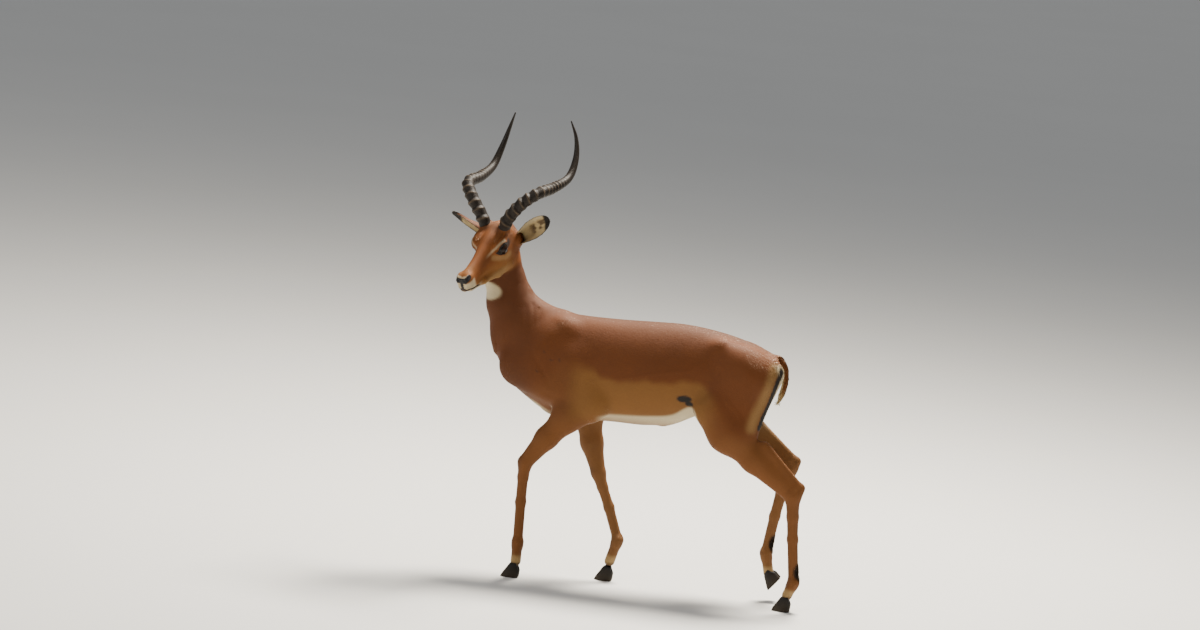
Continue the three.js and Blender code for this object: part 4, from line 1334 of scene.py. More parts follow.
class Number:
    """A number in a node tree, for writing sums and products plainly."""

    def __init__(self, nodes: Nodes, socket: bpy.types.NodeSocket) -> None:
        """Keeps the tree's maker and the socket."""
        self.nodes = nodes
        self.socket = socket

    def apply(self, operation: str, *values: object, clamp: bool = False) -> "Number":
        """Returns the result of one operation on some values."""
        made = self.nodes.node(
            "ShaderNodeMath", {"operation": operation, "use_clamp": clamp}, dict(enumerate(values))
        )
        return Number(self.nodes, made.outputs[0])

    def __add__(self, other: object) -> "Number":
        """Returns self + other."""
        return self.apply("ADD", self, other)

    def __radd__(self, other: object) -> "Number":
        """Returns other + self."""
        return self.apply("ADD", other, self)

    def __sub__(self, other: object) -> "Number":
        """Returns self - other."""
        return self.apply("SUBTRACT", self, other)

    def __rsub__(self, other: object) -> "Number":
        """Returns other - self."""
        return self.apply("SUBTRACT", other, self)

    def __mul__(self, other: object) -> "Number":
        """Returns self * other."""
        return self.apply("MULTIPLY", self, other)

    def __rmul__(self, other: object) -> "Number":
        """Returns other * self."""
        return self.apply("MULTIPLY", other, self)

    def __truediv__(self, other: object) -> "Number":
        """Returns self / other."""
        return self.apply("DIVIDE", self, other)

    def __rtruediv__(self, other: object) -> "Number":
        """Returns other / self."""
        return self.apply("DIVIDE", other, self)

    def __pow__(self, other: object) -> "Number":
        """Returns self to the power of other."""
        return self.apply("POWER", self, other)

    def clamped(self) -> "Number":
        """Returns self, held between 0 and 1."""
        return self.apply("ADD", self, 0.0, clamp=True)


# ---------------------------------------------------------------- finishes
class Finish:
    """The base of every finish: a material with one surface shader."""

    label = "finish"

    def material(self) -> bpy.types.Material:
        """Returns the finish as a material."""
        made = bpy.data.materials.new(self.label)
        made.use_nodes = True
        tree = made.node_tree
        tree.nodes.clear()
        nodes = Nodes(tree)
        surface = nodes.node("ShaderNodeBsdfPrincipled", None, self.surface(nodes))
        nodes.node("ShaderNodeOutputMaterial", None, {"Surface": surface.outputs[0]})
        return made

    def surface(self, nodes: Nodes) -> dict:
        """Returns the shader's inputs."""
        raise NotImplementedError

    def place(self, nodes: Nodes, scale: tuple[float, float, float] = (1.0, 1.0, 1.0)) -> bpy.types.NodeSocket:
        """Returns the object's own coordinates, scaled."""
        where = nodes.node("ShaderNodeTexCoord").outputs["Object"]
        return nodes.node("ShaderNodeMapping", None, {"Vector": where, "Scale": scale}).outputs[0]

    def noise(self, nodes: Nodes, where: object, scale: float, detail: float = 3.0) -> Number:
        """Returns even noise from 0 to 1, scale times a metre."""
        settings = {"noise_dimensions": "3D"}
        inputs = {"Vector": where, "Scale": scale, "Detail": detail}
        return nodes.number(nodes.node("ShaderNodeTexNoise", settings, inputs).outputs["Fac"])

    def paint(self, nodes: Nodes, name: str = "coat") -> bpy.types.NodeSocket:
        """Returns the colours that the mesh carries."""
        return nodes.node("ShaderNodeAttribute", {"attribute_name": name}).outputs["Color"]

    def carried(self, nodes: Nodes, name: str) -> Number:
        """Returns a number that the mesh carries."""
        return nodes.number(nodes.node("ShaderNodeAttribute", {"attribute_name": name}).outputs["Fac"])

    def bump(self, nodes: Nodes, height: Number, depth: float, strength: float = 1.0) -> bpy.types.NodeSocket:
        """Returns directions for a surface whose height varies by depth metres."""
        inputs = {"Height": height, "Distance": depth, "Strength": strength}
        return nodes.node("ShaderNodeBump", None, inputs).outputs[0]

    def tinted(self, nodes: Nodes, colour: object, by: Number) -> bpy.types.NodeSocket:
        """Returns a colour times a number."""
        return nodes.scaled(colour, by)


@dataclass(frozen=True)
class HairFinish(Finish):
    """The short hair: each tuft a little lighter or darker, and darker at its root as painted shade."""

    label: str = "hair"
    roughness: float = 0.44
    spread: float = 0.22  # how much tufts differ in brightness
    # brightness at a tuft's root: painted shade among the hairs
    painted_root_shade: float = 0.86
    sheen: tuple[float, ...] = (1.0, 0.72, 0.45, 1.0)

    def surface(self, nodes: Nodes) -> dict:
        """Returns the shader's inputs."""
        tint, along = self.carried(nodes, "tint"), self.carried(nodes, "along")
        broad = self.noise(nodes, self.place(nodes), 9.0)
        light = (1.0 - self.spread / 2 + tint * self.spread) * (0.84 + broad * 0.32)
        # painted shade: each tuft darker at its root and lighter towards its tip
        light = light * (self.painted_root_shade + along * (1.08 - self.painted_root_shade))
        strands = self.noise(nodes, self.place(nodes, (500.0, 2600.0, 1400.0)), 1.0, 2.0)
        return {
            "Base Color": self.tinted(nodes, self.paint(nodes), light * (0.86 + strands * 0.28)),
            "Roughness": self.roughness - tint * 0.16,
            "Specular IOR Level": 0.40,
            "Specular Tint": self.sheen,
        }


@dataclass(frozen=True)
class SkinFinish(Finish):
    """The skin under the hair, with the lie of finer hair as bump, and bare leather on the nose."""

    label: str = "skin"

    def surface(self, nodes: Nodes) -> dict:
        """Returns the shader's inputs."""
        bare = self.carried(nodes, "bare")
        broad = self.noise(nodes, self.place(nodes), 9.0)
        strands = self.noise(nodes, self.place(nodes, (160.0, 700.0, 420.0)), 1.0, 4.0)
        pebbles = nodes.node(
            "ShaderNodeTexVoronoi", {"feature": "F1"}, {"Vector": self.place(nodes), "Scale": 620.0}
        )
        grain = nodes.number(pebbles.outputs["Distance"])
        height = strands * (1.0 - bare) + grain * bare * 0.7
        light = (0.8 + broad * 0.32) * (0.78 + strands * 0.4)
        return {
            "Base Color": self.tinted(nodes, self.paint(nodes), light),
            "Roughness": 0.72 - bare * 0.24,
            "Normal": self.bump(nodes, height, 0.0007),
            "Specular IOR Level": 0.28,
        }


@dataclass(frozen=True)
class HornFinish(Finish):
    """Ridged horn: near black, paler on the crests as wear and as a painted highlight, polished at the tip."""

    label: str = "horn"

    def surface(self, nodes: Nodes) -> dict:
        """Returns the shader's inputs."""
        crest, tip = self.carried(nodes, "crest"), self.carried(nodes, "tip")
        fine = self.noise(nodes, self.place(nodes), 260.0, 5.0)
        streak = self.noise(nodes, self.place(nodes), 38.0, 3.0)
        # the paler crests: partly wear, partly a painted highlight where the ridges catch the light
        wear_and_highlight = (crest * (streak * 1.5 - 0.25) * (1.0 - tip)).clamped()
        colour = nodes.mix_colours((0.012, 0.008, 0.005, 1), (0.095, 0.064, 0.036, 1), wear_and_highlight)
        return {
            "Base Color": self.tinted(nodes, colour, 0.62 + fine * 0.76),
            "Roughness": 0.52 - tip * 0.16 + fine * 0.1,
            "Normal": self.bump(nodes, fine + streak * 0.5, 0.0008),
            "Specular IOR Level": 0.22,
        }


@dataclass(frozen=True)
class HoofFinish(Finish):
    """Black hoof horn with faint growth lines, dusty towards the sole."""

    label: str = "hoof"

    def surface(self, nodes: Nodes) -> dict:
        """Returns the shader's inputs."""
        level = self.carried(nodes, "level")
        rings = level.apply("SINE", level * 46.0)
        fine = self.noise(nodes, self.place(nodes), 420.0, 4.0)
        dust = ((1.0 - level) * 0.5 + fine * 0.35 - 0.2).clamped()
        colour = nodes.mix_colours((0.007, 0.006, 0.005, 1), (0.055, 0.038, 0.022, 1), dust)
        return {
            "Base Color": self.tinted(nodes, colour, 0.8 + fine * 0.4),
            "Roughness": 0.46 + fine * 0.22,
            "Normal": self.bump(nodes, rings * 0.3 + fine, 0.0004),
            "Specular IOR Level": 0.2,
        }


@dataclass(frozen=True)
class EyeFinish(Finish):
    """The wet eyeball."""

    label: str = "eyeball"

    def surface(self, nodes: Nodes) -> dict:
        """Returns the shader's inputs."""
        fibres = self.noise(nodes, self.place(nodes), 900.0, 3.0)
        return {
            "Base Color": self.tinted(nodes, self.paint(nodes), 0.6 + fibres * 0.8),
            "Roughness": 0.06 + fibres * 0.04,
            "Specular IOR Level": 0.14,
        }


@dataclass(frozen=True)
class FloorFinish(Finish):
    """The plain pale floor."""

    label: str = "floor"

    def surface(self, nodes: Nodes) -> dict:
        """Returns the shader's inputs."""
        cloud = self.noise(nodes, self.place(nodes), 0.7)
        return {
            "Base Color": nodes.mix_colours((0.70, 0.69, 0.66, 1), (0.74, 0.73, 0.70, 1), cloud),
            "Roughness": 0.9,
        }


# ---------------------------------------------------------------- skin and coat pieces
def carry(mesh: bpy.types.Mesh, name: str, kind: str, values: Array) -> None:
    """Stores values on a mesh's points.

    Args:
        mesh: the mesh.
        name: the attribute's name.
        kind: FLOAT, FLOAT_VECTOR or FLOAT_COLOR.
        values: one row for each point.
    """
    key = {"FLOAT": "value", "FLOAT_VECTOR": "vector", "FLOAT_COLOR": "color"}[kind]
    if kind == "FLOAT_COLOR":
        values = np.column_stack([values, np.ones(len(values))])
    made = mesh.attributes.new(name, kind, "POINT")
    made.data.foreach_set(key, np.ascontiguousarray(values, np.float32).ravel())


@dataclass(frozen=True)
class Patch:
    """One piece of the coat.

    Attributes:
        name: the piece's name.
        spacing: the least distance between tufts, in millimetres.
        seed: starts the places of its tufts.
        slot: the record's material slot.
    """

    name: str
    spacing: float
    seed: int
    slot: str = "hide"


PATCHES = (
    Patch("coat_trunk_fore", 3.35, 11),
    Patch("coat_trunk_rear", 3.35, 12),
    Patch("coat_neck", 2.7, 13),
    Patch("coat_head", 1.46, 14),
    Patch("coat_forelegs", 2.35, 15, "leg_hide"),
    Patch("coat_hindlegs", 2.45, 16, "leg_hide"),
    Patch("coat_ears_and_tail", 1.7, 17),
)
BAKE_MAP = "OFBake"
TUFT_PATCH = 0.003  # the side of each tuft's place on the unwrap


class Skin:
    """The ram's skin, with everything that its coat needs to know carried on its points."""

    def __init__(self, flesh: Flesh, markings: Markings) -> None:
        """Keeps the field and the markings."""
        self.flesh = flesh
        self.markings = markings

    def build(self) -> bpy.types.Object:
        """Returns the skin as an object."""
        points, faces, normals = SkinMesh(self.flesh).build()
        flow, region = self.flesh.parts_near(points)
        flow = self.combed(points, faces, flow, normals)
        colour = self.markings.skin(points, normals, region)
        hair = self.hair(points, normals, region)
        bare = self.bare(points)
        where = self.patches(points, region, bare)
        for name, side in SIDES.items():
            ear = ear_shell(side)
            start = len(points)
            faces += [tuple(int(i) + start for i in quad) for quad in ear.quads]
            points = np.concatenate([points, ear.points])
            flow = np.concatenate([flow, ear.flow])
            colour = np.concatenate([colour, self.markings.ear(ear)])
            hair = np.concatenate([hair, self.ear_hair(ear)])
            bare = np.concatenate([bare, np.zeros(len(ear.points))])
            for patch in PATCHES:
                whole = 1.0 if patch.name == "coat_ears_and_tail" else 0.0
                thin = np.where(ear.inner > 0, 0.55, 1.0) * smoothstep(ear.along, -0.05, 0.05)
                where[patch.name] = np.concatenate([where[patch.name], whole * thin])
        mesh = mesh_from("skin", points, faces)
        carry(mesh, "coat", "FLOAT_COLOR", colour)
        carry(mesh, "lie", "FLOAT_VECTOR", flow)
        carry(mesh, "hair", "FLOAT_VECTOR", hair)
        carry(mesh, "bare", "FLOAT", bare)
        for name, share in where.items():
            carry(mesh, name, "FLOAT", share)
        skin = add_object("skin", mesh, SkinFinish().material())
        self.unwrap(skin)
        return skin

    def combed(self, points: Array, faces: list, flow: Array, normals: Array) -> Array:
        """Returns the lie of the hair, evened out along the skin.

        Args:
            points: the skin's places.
            faces: its faces.
            flow: the lie of the hair before.
            normals: the skin's directions.

        Returns:
            One direction for each place, along the skin.
        """
        mesh = bpy.data.meshes.new("combed")
        mesh.from_pydata(points.tolist(), [], faces)
        maker = SkinMesh(self.flesh)
        for _ in range(6):
            along = flow - np.einsum("ij,ij->i", flow, normals)[:, None] * normals
            flow = unit(maker.relax(mesh, unit(along), 8, 0.6))
        bpy.data.meshes.remove(mesh)
        return flow

    def unwrap(self, skin: bpy.types.Object) -> None:
        """Lays the skin out flat in its own map."""
        skin.data.uv_layers.new(name=BAKE_MAP)
        bpy.context.view_layer.objects.active = skin
        skin.select_set(True)
        bpy.ops.object.mode_set(mode="EDIT")
        bpy.ops.mesh.select_all(action="SELECT")
        bpy.ops.uv.smart_project(angle_limit=math.radians(70), island_margin=0.001)
        bpy.ops.object.mode_set(mode="OBJECT")
        skin.select_set(False)

    def bare(self, p: Array) -> Array:
        """Returns 1 where the skin has no hair: the nose's leather, the nostrils and the lids' rims."""
        q = HEAD.local(p)
        q[:, 1] = np.abs(q[:, 1])
        almond, _, out = EYE.opening(q)
        lids = smoothstep(almond, 6.0, 4.0) * smoothstep(out, 30, 27)
        mouth = near_line(q, MOUTH, 2.0, 4.0)
        return np.clip(lids + self.markings.nose_leather(q) + mouth, 0, 1)

    def hair(self, p: Array, n: Array, region: Array) -> Array:
        """Returns the length, half width and lift of the hair at each place, in metres and radians."""
        q = HEAD.local(p)
        f, o = q[:, 0], np.abs(q[:, 1])
        high = smoothstep(p[:, 2], 380, 620)
        length = mix(5.2, 9.5, high)
        width = mix(0.85, 1.2, high)
        lift = mix(3.2, 4.2, high)
        ridge = smoothstep(n[:, 2], 0.5, 0.9) * high
        length = length + 1.0 * ridge
        under = smoothstep(n[:, 2], -0.5, -0.9) * high
        length, lift = length + 2.0 * under, lift + 2.0 * under
        ham = smoothstep(p[:, 0], 520, 550) * smoothstep(p[:, 2], 560, 620)
        length, lift = length + 2.5 * ham, lift + 1.5 * ham
        chest = smoothstep(p[:, 0], -210, -260) * smoothstep(p[:, 2], 900, 640)
        length, lift = length + 1.0 * chest, lift + 1.0 * chest
        on_head = smoothstep(f, 0, 50) * smoothstep(p[:, 2], 880, 915)
        near_nose = smoothstep(f, 120, 250)
        length = mix(length, mix(7.0, 3.4, near_nose), on_head)
        width = mix(width, mix(0.8, 0.5, near_nose), on_head)
        lift = mix(lift, 4.4, on_head)
        tip = smoothstep(f, 258, 276)
        length, lift = mix(length, 1.7, tip * on_head), mix(lift, 1.5, tip * on_head)
        almond, _, out = EYE.opening(np.column_stack([f, o, q[:, 2]]))
        lids = smoothstep(almond, 12, 5) * smoothstep(out, 44, 34)
        length, width = mix(length, 2.6, lids), mix(width, 0.45, lids)
        crown = near_spot(np.column_stack([f, o, q[:, 2]]), (34, 26, 28), (26, 24, 26), 0.5)
        length, lift = length + 2.0 * crown, lift + 3.0 * crown
        tail = (region == Region.TAIL.value) & (p[:, 0] > 560)
        length = np.where(tail, mix(12.0, 20.0, smoothstep(p[:, 2], 720, 650)), length)
        lift = np.where(tail, 7.0, lift)
        width = np.where(tail, 1.3, width)
        for side in (LEFT, RIGHT):
            tuft = near_spot(p, self.markings.gland(side), (18, 18, 28), 0.25)
            length, lift = length + 10.0 * tuft, lift + 16.0 * tuft
        return np.column_stack([length * MM, width * MM, np.radians(lift)])

    def ear_hair(self, ear: EarShell) -> Array:
        """Returns the length, half width and lift of an ear's hair."""
        rim = smoothstep(np.abs(ear.spread), 0.7, 0.95)
        length = 4.5 + ear.inner * 3.5 * smoothstep(ear.along, 1.0, 0.3) + 1.0 * rim
        lift = 4.5 + ear.inner * 3.0
        return np.column_stack([length * MM, np.full(len(length), 0.6 * MM), np.radians(lift)])

    def patches(self, p: Array, region: Array, bare: Array) -> dict[str, Array]:
        """Returns the share of full density of each coat piece at each place."""
        q = HEAD.local(p)
        on_head = (q[:, 0] > 4) & (q[:, 2] > -118) & (p[:, 2] > 890) & (region == Region.HEAD.value)
        tail = (region == Region.TAIL.value) & (p[:, 0] > 560)
        neck = ~on_head & ((region == Region.NECK.value) | (region == Region.HEAD.value)) & (p[:, 0] < -150)
        low = ~on_head & ~tail & ~neck & (p[:, 2] < 560)
        legs = (region >= Region.FORELEG_LEFT.value) & (region <= Region.HINDLEG_RIGHT.value)
        low = low & (legs | (p[:, 2] < 500))
        trunk = ~on_head & ~tail & ~neck & ~low
        chosen = {
            "coat_trunk_fore": trunk & (p[:, 0] < 140),
            "coat_trunk_rear": trunk & (p[:, 0] >= 140),
            "coat_neck": neck,
            "coat_head": on_head,
            "coat_forelegs": low & (p[:, 0] < 250),
            "coat_hindlegs": low & (p[:, 0] >= 250),
            "coat_ears_and_tail": tail,
        }
        clear = smoothstep(bare, 0.6, 0.3)
        hoof_gap = np.ones(len(p))
        for legs_of in (self.markings.body.foreleg, self.markings.body.hindleg):
            for side in (LEFT, RIGHT):
                coronet = outward(legs_of[side]["coronet"], side)
                hoof_gap = hoof_gap * (1 - near_spot(p, coronet + np.array([0, 0, -18]), (36, 34, 12), 0.1))
        return {name: where * clear * hoof_gap for name, where in chosen.items()}


def socket_names(tree: bpy.types.NodeTree) -> dict[str, str]:
    """Returns the identifier of each of a tree's inputs by its name."""
    return {s.name: s.identifier for s in tree.interface.items_tree if s.in_out == "INPUT"}


class Coat:
    """Tufts of hair over the skin, in pieces."""

    kinds = {
        "Geometry": "NodeSocketGeometry", "Where": "NodeSocketString", "Spacing": "NodeSocketFloat",
        "Thickness": "NodeSocketFloat", "Curl": "NodeSocketFloat", "Jitter": "NodeSocketFloat",
        "Seed": "NodeSocketInt", "Material": "NodeSocketMaterial",
    }

    def __init__(self, skin: bpy.types.Object) -> None:
        """Keeps the skin and makes the tree that all the pieces share."""
        self.skin = skin
        self.finish = HairFinish().material()
        self.tree = self.tufts()

    def tuft(self, nodes: Nodes, given: dict) -> bpy.types.NodeSocket:
        """Returns one tuft: a flat, tapered solid that bends down to its tip."""
        cone = nodes.node("GeometryNodeMeshCone", {"fill_type": "NGON"}, {
            "Vertices": 3, "Side Segments": 2, "Radius Top": 0.0, "Radius Bottom": 1.0, "Depth": 1.0,
        })
        place = nodes.node("GeometryNodeInputPosition").outputs[0]
        split = nodes.node("ShaderNodeSeparateXYZ", None, {0: place})
        x, y, z = (nodes.number(s) for s in split.outputs)
        full = 1.0 + z * (1.0 - z) * 2.6
        bent = x * full * given["Thickness"] - z * z * given["Curl"]
        moved = nodes.node("ShaderNodeCombineXYZ", None, {0: bent, 1: y * full, 2: z}).outputs[0]
        flat = nodes.node("ShaderNodeCombineXYZ", None, {0: x * 0.5, 1: y * 0.5, 2: 0.0}).outputs[0]
        small = nodes.node("ShaderNodeCombineXYZ", None, {0: x * 0.15 + 0.75, 1: y * 0.15, 2: 0.0}).outputs[0]
        spot = nodes.node("GeometryNodeSwitch", {"input_type": "VECTOR"}, {
            "Switch": cone.outputs["Bottom"], "False": flat, "True": small,
        }).outputs[0]
        shape = self.store(nodes, cone.outputs["Mesh"], "spot", "FLOAT2", spot, "CORNER")
        shape = self.store(nodes, shape, "along", "FLOAT", z)
        return nodes.node("GeometryNodeSetPosition", None, {"Geometry": shape, "Position": moved}).outputs[0]

    def store(self, nodes: Nodes, shape: object, name: str, kind: str, value: object,
              domain: str = "POINT") -> bpy.types.NodeSocket:
        """Returns a shape that carries a value by name."""
        made = nodes.node("GeometryNodeStoreNamedAttribute", {"data_type": kind, "domain": domain}, {
            "Geometry": shape, "Name": name, "Value": value,
        })
        return made.outputs[0]

    def read(self, nodes: Nodes, name: object, kind: str = "FLOAT_VECTOR") -> bpy.types.NodeSocket:
        """Returns a value that a shape carries."""
        return nodes.node("GeometryNodeInputNamedAttribute", {"data_type": kind}, {"Name": name}).outputs[0]

    def any_number(self, nodes: Nodes, low: float, high: float, seed: object) -> Number:
        """Returns one random number for each tuft."""
        inputs = {2: low, 3: high, "Seed": seed}
        return nodes.number(nodes.node("FunctionNodeRandomValue", {"data_type": "FLOAT"}, inputs).outputs[1])

    def turned(self, nodes: Nodes, given: dict, normal: object, lift: Number) -> bpy.types.NodeSocket:
        """Returns each tuft's turn, along the lie of the hair and lifted a little from the skin."""
        seed = nodes.number(given["Seed"])
        away = nodes.node("FunctionNodeRandomValue", {"data_type": "FLOAT_VECTOR"}, {
            0: (-1.0, -1.0, -1.0), 1: (1.0, 1.0, 1.0), "Seed": seed + 3.0,
        }).outputs[0]
        lie = nodes.vector("ADD", self.read(nodes, "lie"), nodes.scaled(away, given["Jitter"]))
        rise = nodes.node("ShaderNodeVectorMath", {"operation": "DOT_PRODUCT"}, {0: lie, 1: normal}).outputs[1]
        level = nodes.vector("NORMALIZE", nodes.vector("SUBTRACT", lie, nodes.scaled(normal, rise)))
        aim = nodes.vector(
            "ADD", nodes.scaled(level, lift.apply("COSINE", lift)), nodes.scaled(normal, lift.apply("SINE", lift))
        )
        first = nodes.node("FunctionNodeAlignRotationToVector", {"axis": "Z"}, {"Vector": aim})
        settings = {"axis": "X", "pivot_axis": "Z"}
        inputs = {"Rotation": first.outputs[0], "Vector": normal}
        return nodes.node("FunctionNodeAlignRotationToVector", settings, inputs).outputs[0]

    def tufts(self) -> bpy.types.NodeTree:
        """Returns the tree that sets tufts over a surface."""
        tree = bpy.data.node_groups.new("tufts", "GeometryNodeTree")
        for name, kind in self.kinds.items():
            tree.interface.new_socket(name, in_out="INPUT", socket_type=kind)
        tree.interface.new_socket("Geometry", in_out="OUTPUT", socket_type="NodeSocketGeometry")
        nodes = Nodes(tree)
        given = {s.name: s for s in nodes.node("NodeGroupInput").outputs if s.name}
        share = self.read(nodes, given["Where"], "FLOAT")
        here = nodes.node("FunctionNodeCompare", {"operation": "GREATER_THAN"}, {0: share, 1: 0.02}).outputs[0]
        area = nodes.node("GeometryNodeSeparateGeometry", {"domain": "FACE"}, {
            "Geometry": given["Geometry"], "Selection": here,
        }).outputs[0]
        spacing = nodes.number(given["Spacing"])
        spread = nodes.node("GeometryNodeDistributePointsOnFaces", {"distribute_method": "POISSON"}, {
            "Mesh": area, "Distance Min": spacing, "Density Max": 1.6 / (spacing * spacing),
            "Density Factor": share, "Seed": given["Seed"],
        })
        normal = spread.outputs["Normal"]
        seed = nodes.number(given["Seed"])
        points = self.store(nodes, spread.outputs["Points"], "root", "FLOAT2", self.read(nodes, BAKE_MAP))
        points = self.store(nodes, points, "tint", "FLOAT", self.any_number(nodes, 0.0, 1.0, seed + 1.0))
        size = nodes.node("ShaderNodeSeparateXYZ", None, {0: self.read(nodes, "hair")})
        length, width, lift = (nodes.number(s) for s in size.outputs)
        length = length * self.any_number(nodes, 0.72, 1.28, seed + 2.0)
        width = width * self.any_number(nodes, 0.8, 1.2, seed + 4.0)
        lift = lift * self.any_number(nodes, 0.7, 1.4, seed + 5.0)
        scale = nodes.node("ShaderNodeCombineXYZ", None, {0: length, 1: width, 2: length}).outputs[0]
        sunk = nodes.scaled(normal, length * -0.045)
        points = nodes.node("GeometryNodeSetPosition", None, {"Geometry": points, "Offset": sunk}).outputs[0]
        placed = nodes.node("GeometryNodeInstanceOnPoints", None, {
            "Points": points, "Instance": self.tuft(nodes, given),
            "Rotation": self.turned(nodes, given, normal, lift), "Scale": scale,
        }).outputs[0]
        solid = nodes.node("GeometryNodeRealizeInstances", None, {0: placed}).outputs[0]
        solid = nodes.node("GeometryNodeSetShadeSmooth", None, {0: solid}).outputs[0]
        spot = nodes.scaled(self.read(nodes, "spot"), TUFT_PATCH)
        flat = nodes.vector("ADD", self.read(nodes, "root"), spot)
        solid = self.store(nodes, solid, BAKE_MAP, "FLOAT2", flat, "CORNER")
        solid = nodes.node("GeometryNodeSetMaterial", None, {0: solid, "Material": given["Material"]}).outputs[0]
        nodes.node("NodeGroupOutput", None, {0: solid})
        return tree

    def piece(self, patch: Patch) -> bpy.types.Object:
        """Returns one piece of the coat as a plain mesh object."""
        ground = bpy.data.objects.new(patch.name + "_ground", self.skin.data)
        bpy.context.scene.collection.objects.link(ground)
        grow = ground.modifiers.new("tufts", "NODES")
        grow.node_group = self.tree
        named = socket_names(self.tree)
        values = {
            "Where": patch.name, "Spacing": patch.spacing * MM, "Thickness": 0.055, "Curl": 0.125,
            "Jitter": 0.09, "Seed": patch.seed, "Material": self.finish,
        }
        for name, value in values.items():
            grow[named[name]] = value
        seen = ground.evaluated_get(bpy.context.evaluated_depsgraph_get())
        mesh = bpy.data.meshes.new_from_object(seen)
        bpy.data.objects.remove(ground)
        mesh.name = patch.name
        kept = {"coat", "tint", "along", BAKE_MAP, "position"}
        for name in [a.name for a in mesh.attributes]:
            if name not in kept and not name.startswith(".") and name not in ("sharp_face", "material_index"):
                mesh.attributes.remove(mesh.attributes[name])
        made = bpy.data.objects.new(patch.name, mesh)
        bpy.context.scene.collection.objects.link(made)
        return made


# ---------------------------------------------------------------- eyes, horns and hooves
def tube_quads(rows: int, around: int) -> list[tuple[int, ...]]:
    """Returns the faces of a tube of rows of places, each going round."""
    quads = []
    for r in range(rows - 1):
        for s in range(around):
            t = (s + 1) % around
            quads.append((r * around + s, r * around + t, (r + 1) * around + t, (r + 1) * around + s))
    return quads


def cap_fans(rows: int, around: int, first: int, last: int) -> list[tuple[int, ...]]:
    """Returns the triangles that close a tube's ends to two points."""
    end = (rows - 1) * around
    fans = []
    for s in range(around):
        t = (s + 1) % around
        fans.append((first, t, s))
        fans.append((last, end + s, end + t))
    return fans


@dataclass
class Eyes:
    """Both eyeballs: a dark iris with a pupil that lies along the head, under a wet surface."""

    rings: int = 44
    around: int = 96
    iris: float = 34.0  # degrees from the middle of the look
    pupil: tuple[float, float] = (17.0, 9.0)  # degrees, half length and half height
    deep: Colour = (0.004, 0.004, 0.006)
    brown: Colour = (0.020, 0.008, 0.004)
    white: Colour = (0.012, 0.008, 0.006)

    def build(self, side: int, name: str) -> bpy.types.Object:
        """Returns the eyeball on one side."""
        centre = HEAD.place(EYE.centre, side)
        look = HEAD.direction(EYE.look, side)
        forward = HEAD.axes[0]
        along = unit(forward - (forward @ look) * look)
        rise = np.cross(look, along)
        rise = rise if rise[2] > 0 else -rise
        theta = np.linspace(0, math.pi, self.rings + 2)[1:-1]
        phi = np.linspace(0, 2 * math.pi, self.around, endpoint=False)
        t, f = np.meshgrid(theta, phi, indexing="ij")
        bulge = EYE.radius - 0.3 + 0.25 * smoothstep(np.degrees(t), self.iris + 6, self.iris - 14)
        ring = np.cos(f)[..., None] * along + np.sin(f)[..., None] * rise
        points = bulge[..., None] * (np.cos(t)[..., None] * look + np.sin(t)[..., None] * ring)
        poles = np.array([look * bulge.max(), -look * bulge.min()])
        points = np.concatenate([points.reshape(-1, 3), poles]) + centre
        faces = tube_quads(self.rings, self.around) + cap_fans(self.rings, self.around, len(points) - 2, len(points) - 1)
        if np.dot(np.cross(along, rise), look) > 0:
            faces = [f[::-1] for f in faces]
        mesh = mesh_from(name, points, faces)
        t, f = np.append(np.degrees(t).ravel(), (0, 180)), np.append(f.ravel(), (0, 0))
        x, y = t * np.cos(f), t * np.sin(f)
        pupil = smoothstep(np.hypot(x / self.pupil[0], y / self.pupil[1]), 1.08, 0.92)
        iris = smoothstep(t, self.iris + 1, self.iris - 1) * (0.55 + 0.45 * smoothstep(t, self.iris, 12))
        colour = dye(np.broadcast_to(np.array(self.white), points.shape), self.brown, iris)
        carry(mesh, "coat", "FLOAT_COLOR", dye(colour, self.deep, pupil))
        return add_object(name, mesh, EyeFinish().material())


def curve_through(handles: Array, count: int) -> tuple[Array, Array, float]:
    """Follows a centripetal Catmull-Rom line through some places.

    Args:
        handles: the places.
        count: how many steps to give back, evenly spaced along the line.

    Returns:
        The places, their shares of the length, and the length.
    """
    ends = [2 * handles[0] - handles[1], *handles, 2 * handles[-1] - handles[-2]]
    dense = []
    for p0, p1, p2, p3 in zip(ends, ends[1:], ends[2:], ends[3:]):
        knots = np.cumsum([0.0] + [math.sqrt(np.linalg.norm(b - a)) for a, b in ((p0, p1), (p1, p2), (p2, p3))])
        t0, t1, t2, t3 = knots
        for t in np.linspace(t1, t2, 40, endpoint=False):
            a1 = mix(p0, p1, (t - t0) / (t1 - t0))
            a2 = mix(p1, p2, (t - t1) / (t2 - t1))
            a3 = mix(p2, p3, (t - t2) / (t3 - t2))
            b1 = mix(a1, a2, (t - t0) / (t2 - t0))
            b2 = mix(a2, a3, (t - t1) / (t3 - t1))
            dense.append(mix(b1, b2, (t - t1) / (t2 - t1)))
    dense.append(handles[-1])
    dense = np.array(dense)
    reached = np.append(0, np.cumsum(np.linalg.norm(np.diff(dense, axis=0), axis=1)))
    share = np.linspace(0, 1, count)
    even = np.stack([np.interp(share * reached[-1], reached, dense[:, k]) for k in range(3)], 1)
    return even, share, float(reached[-1])


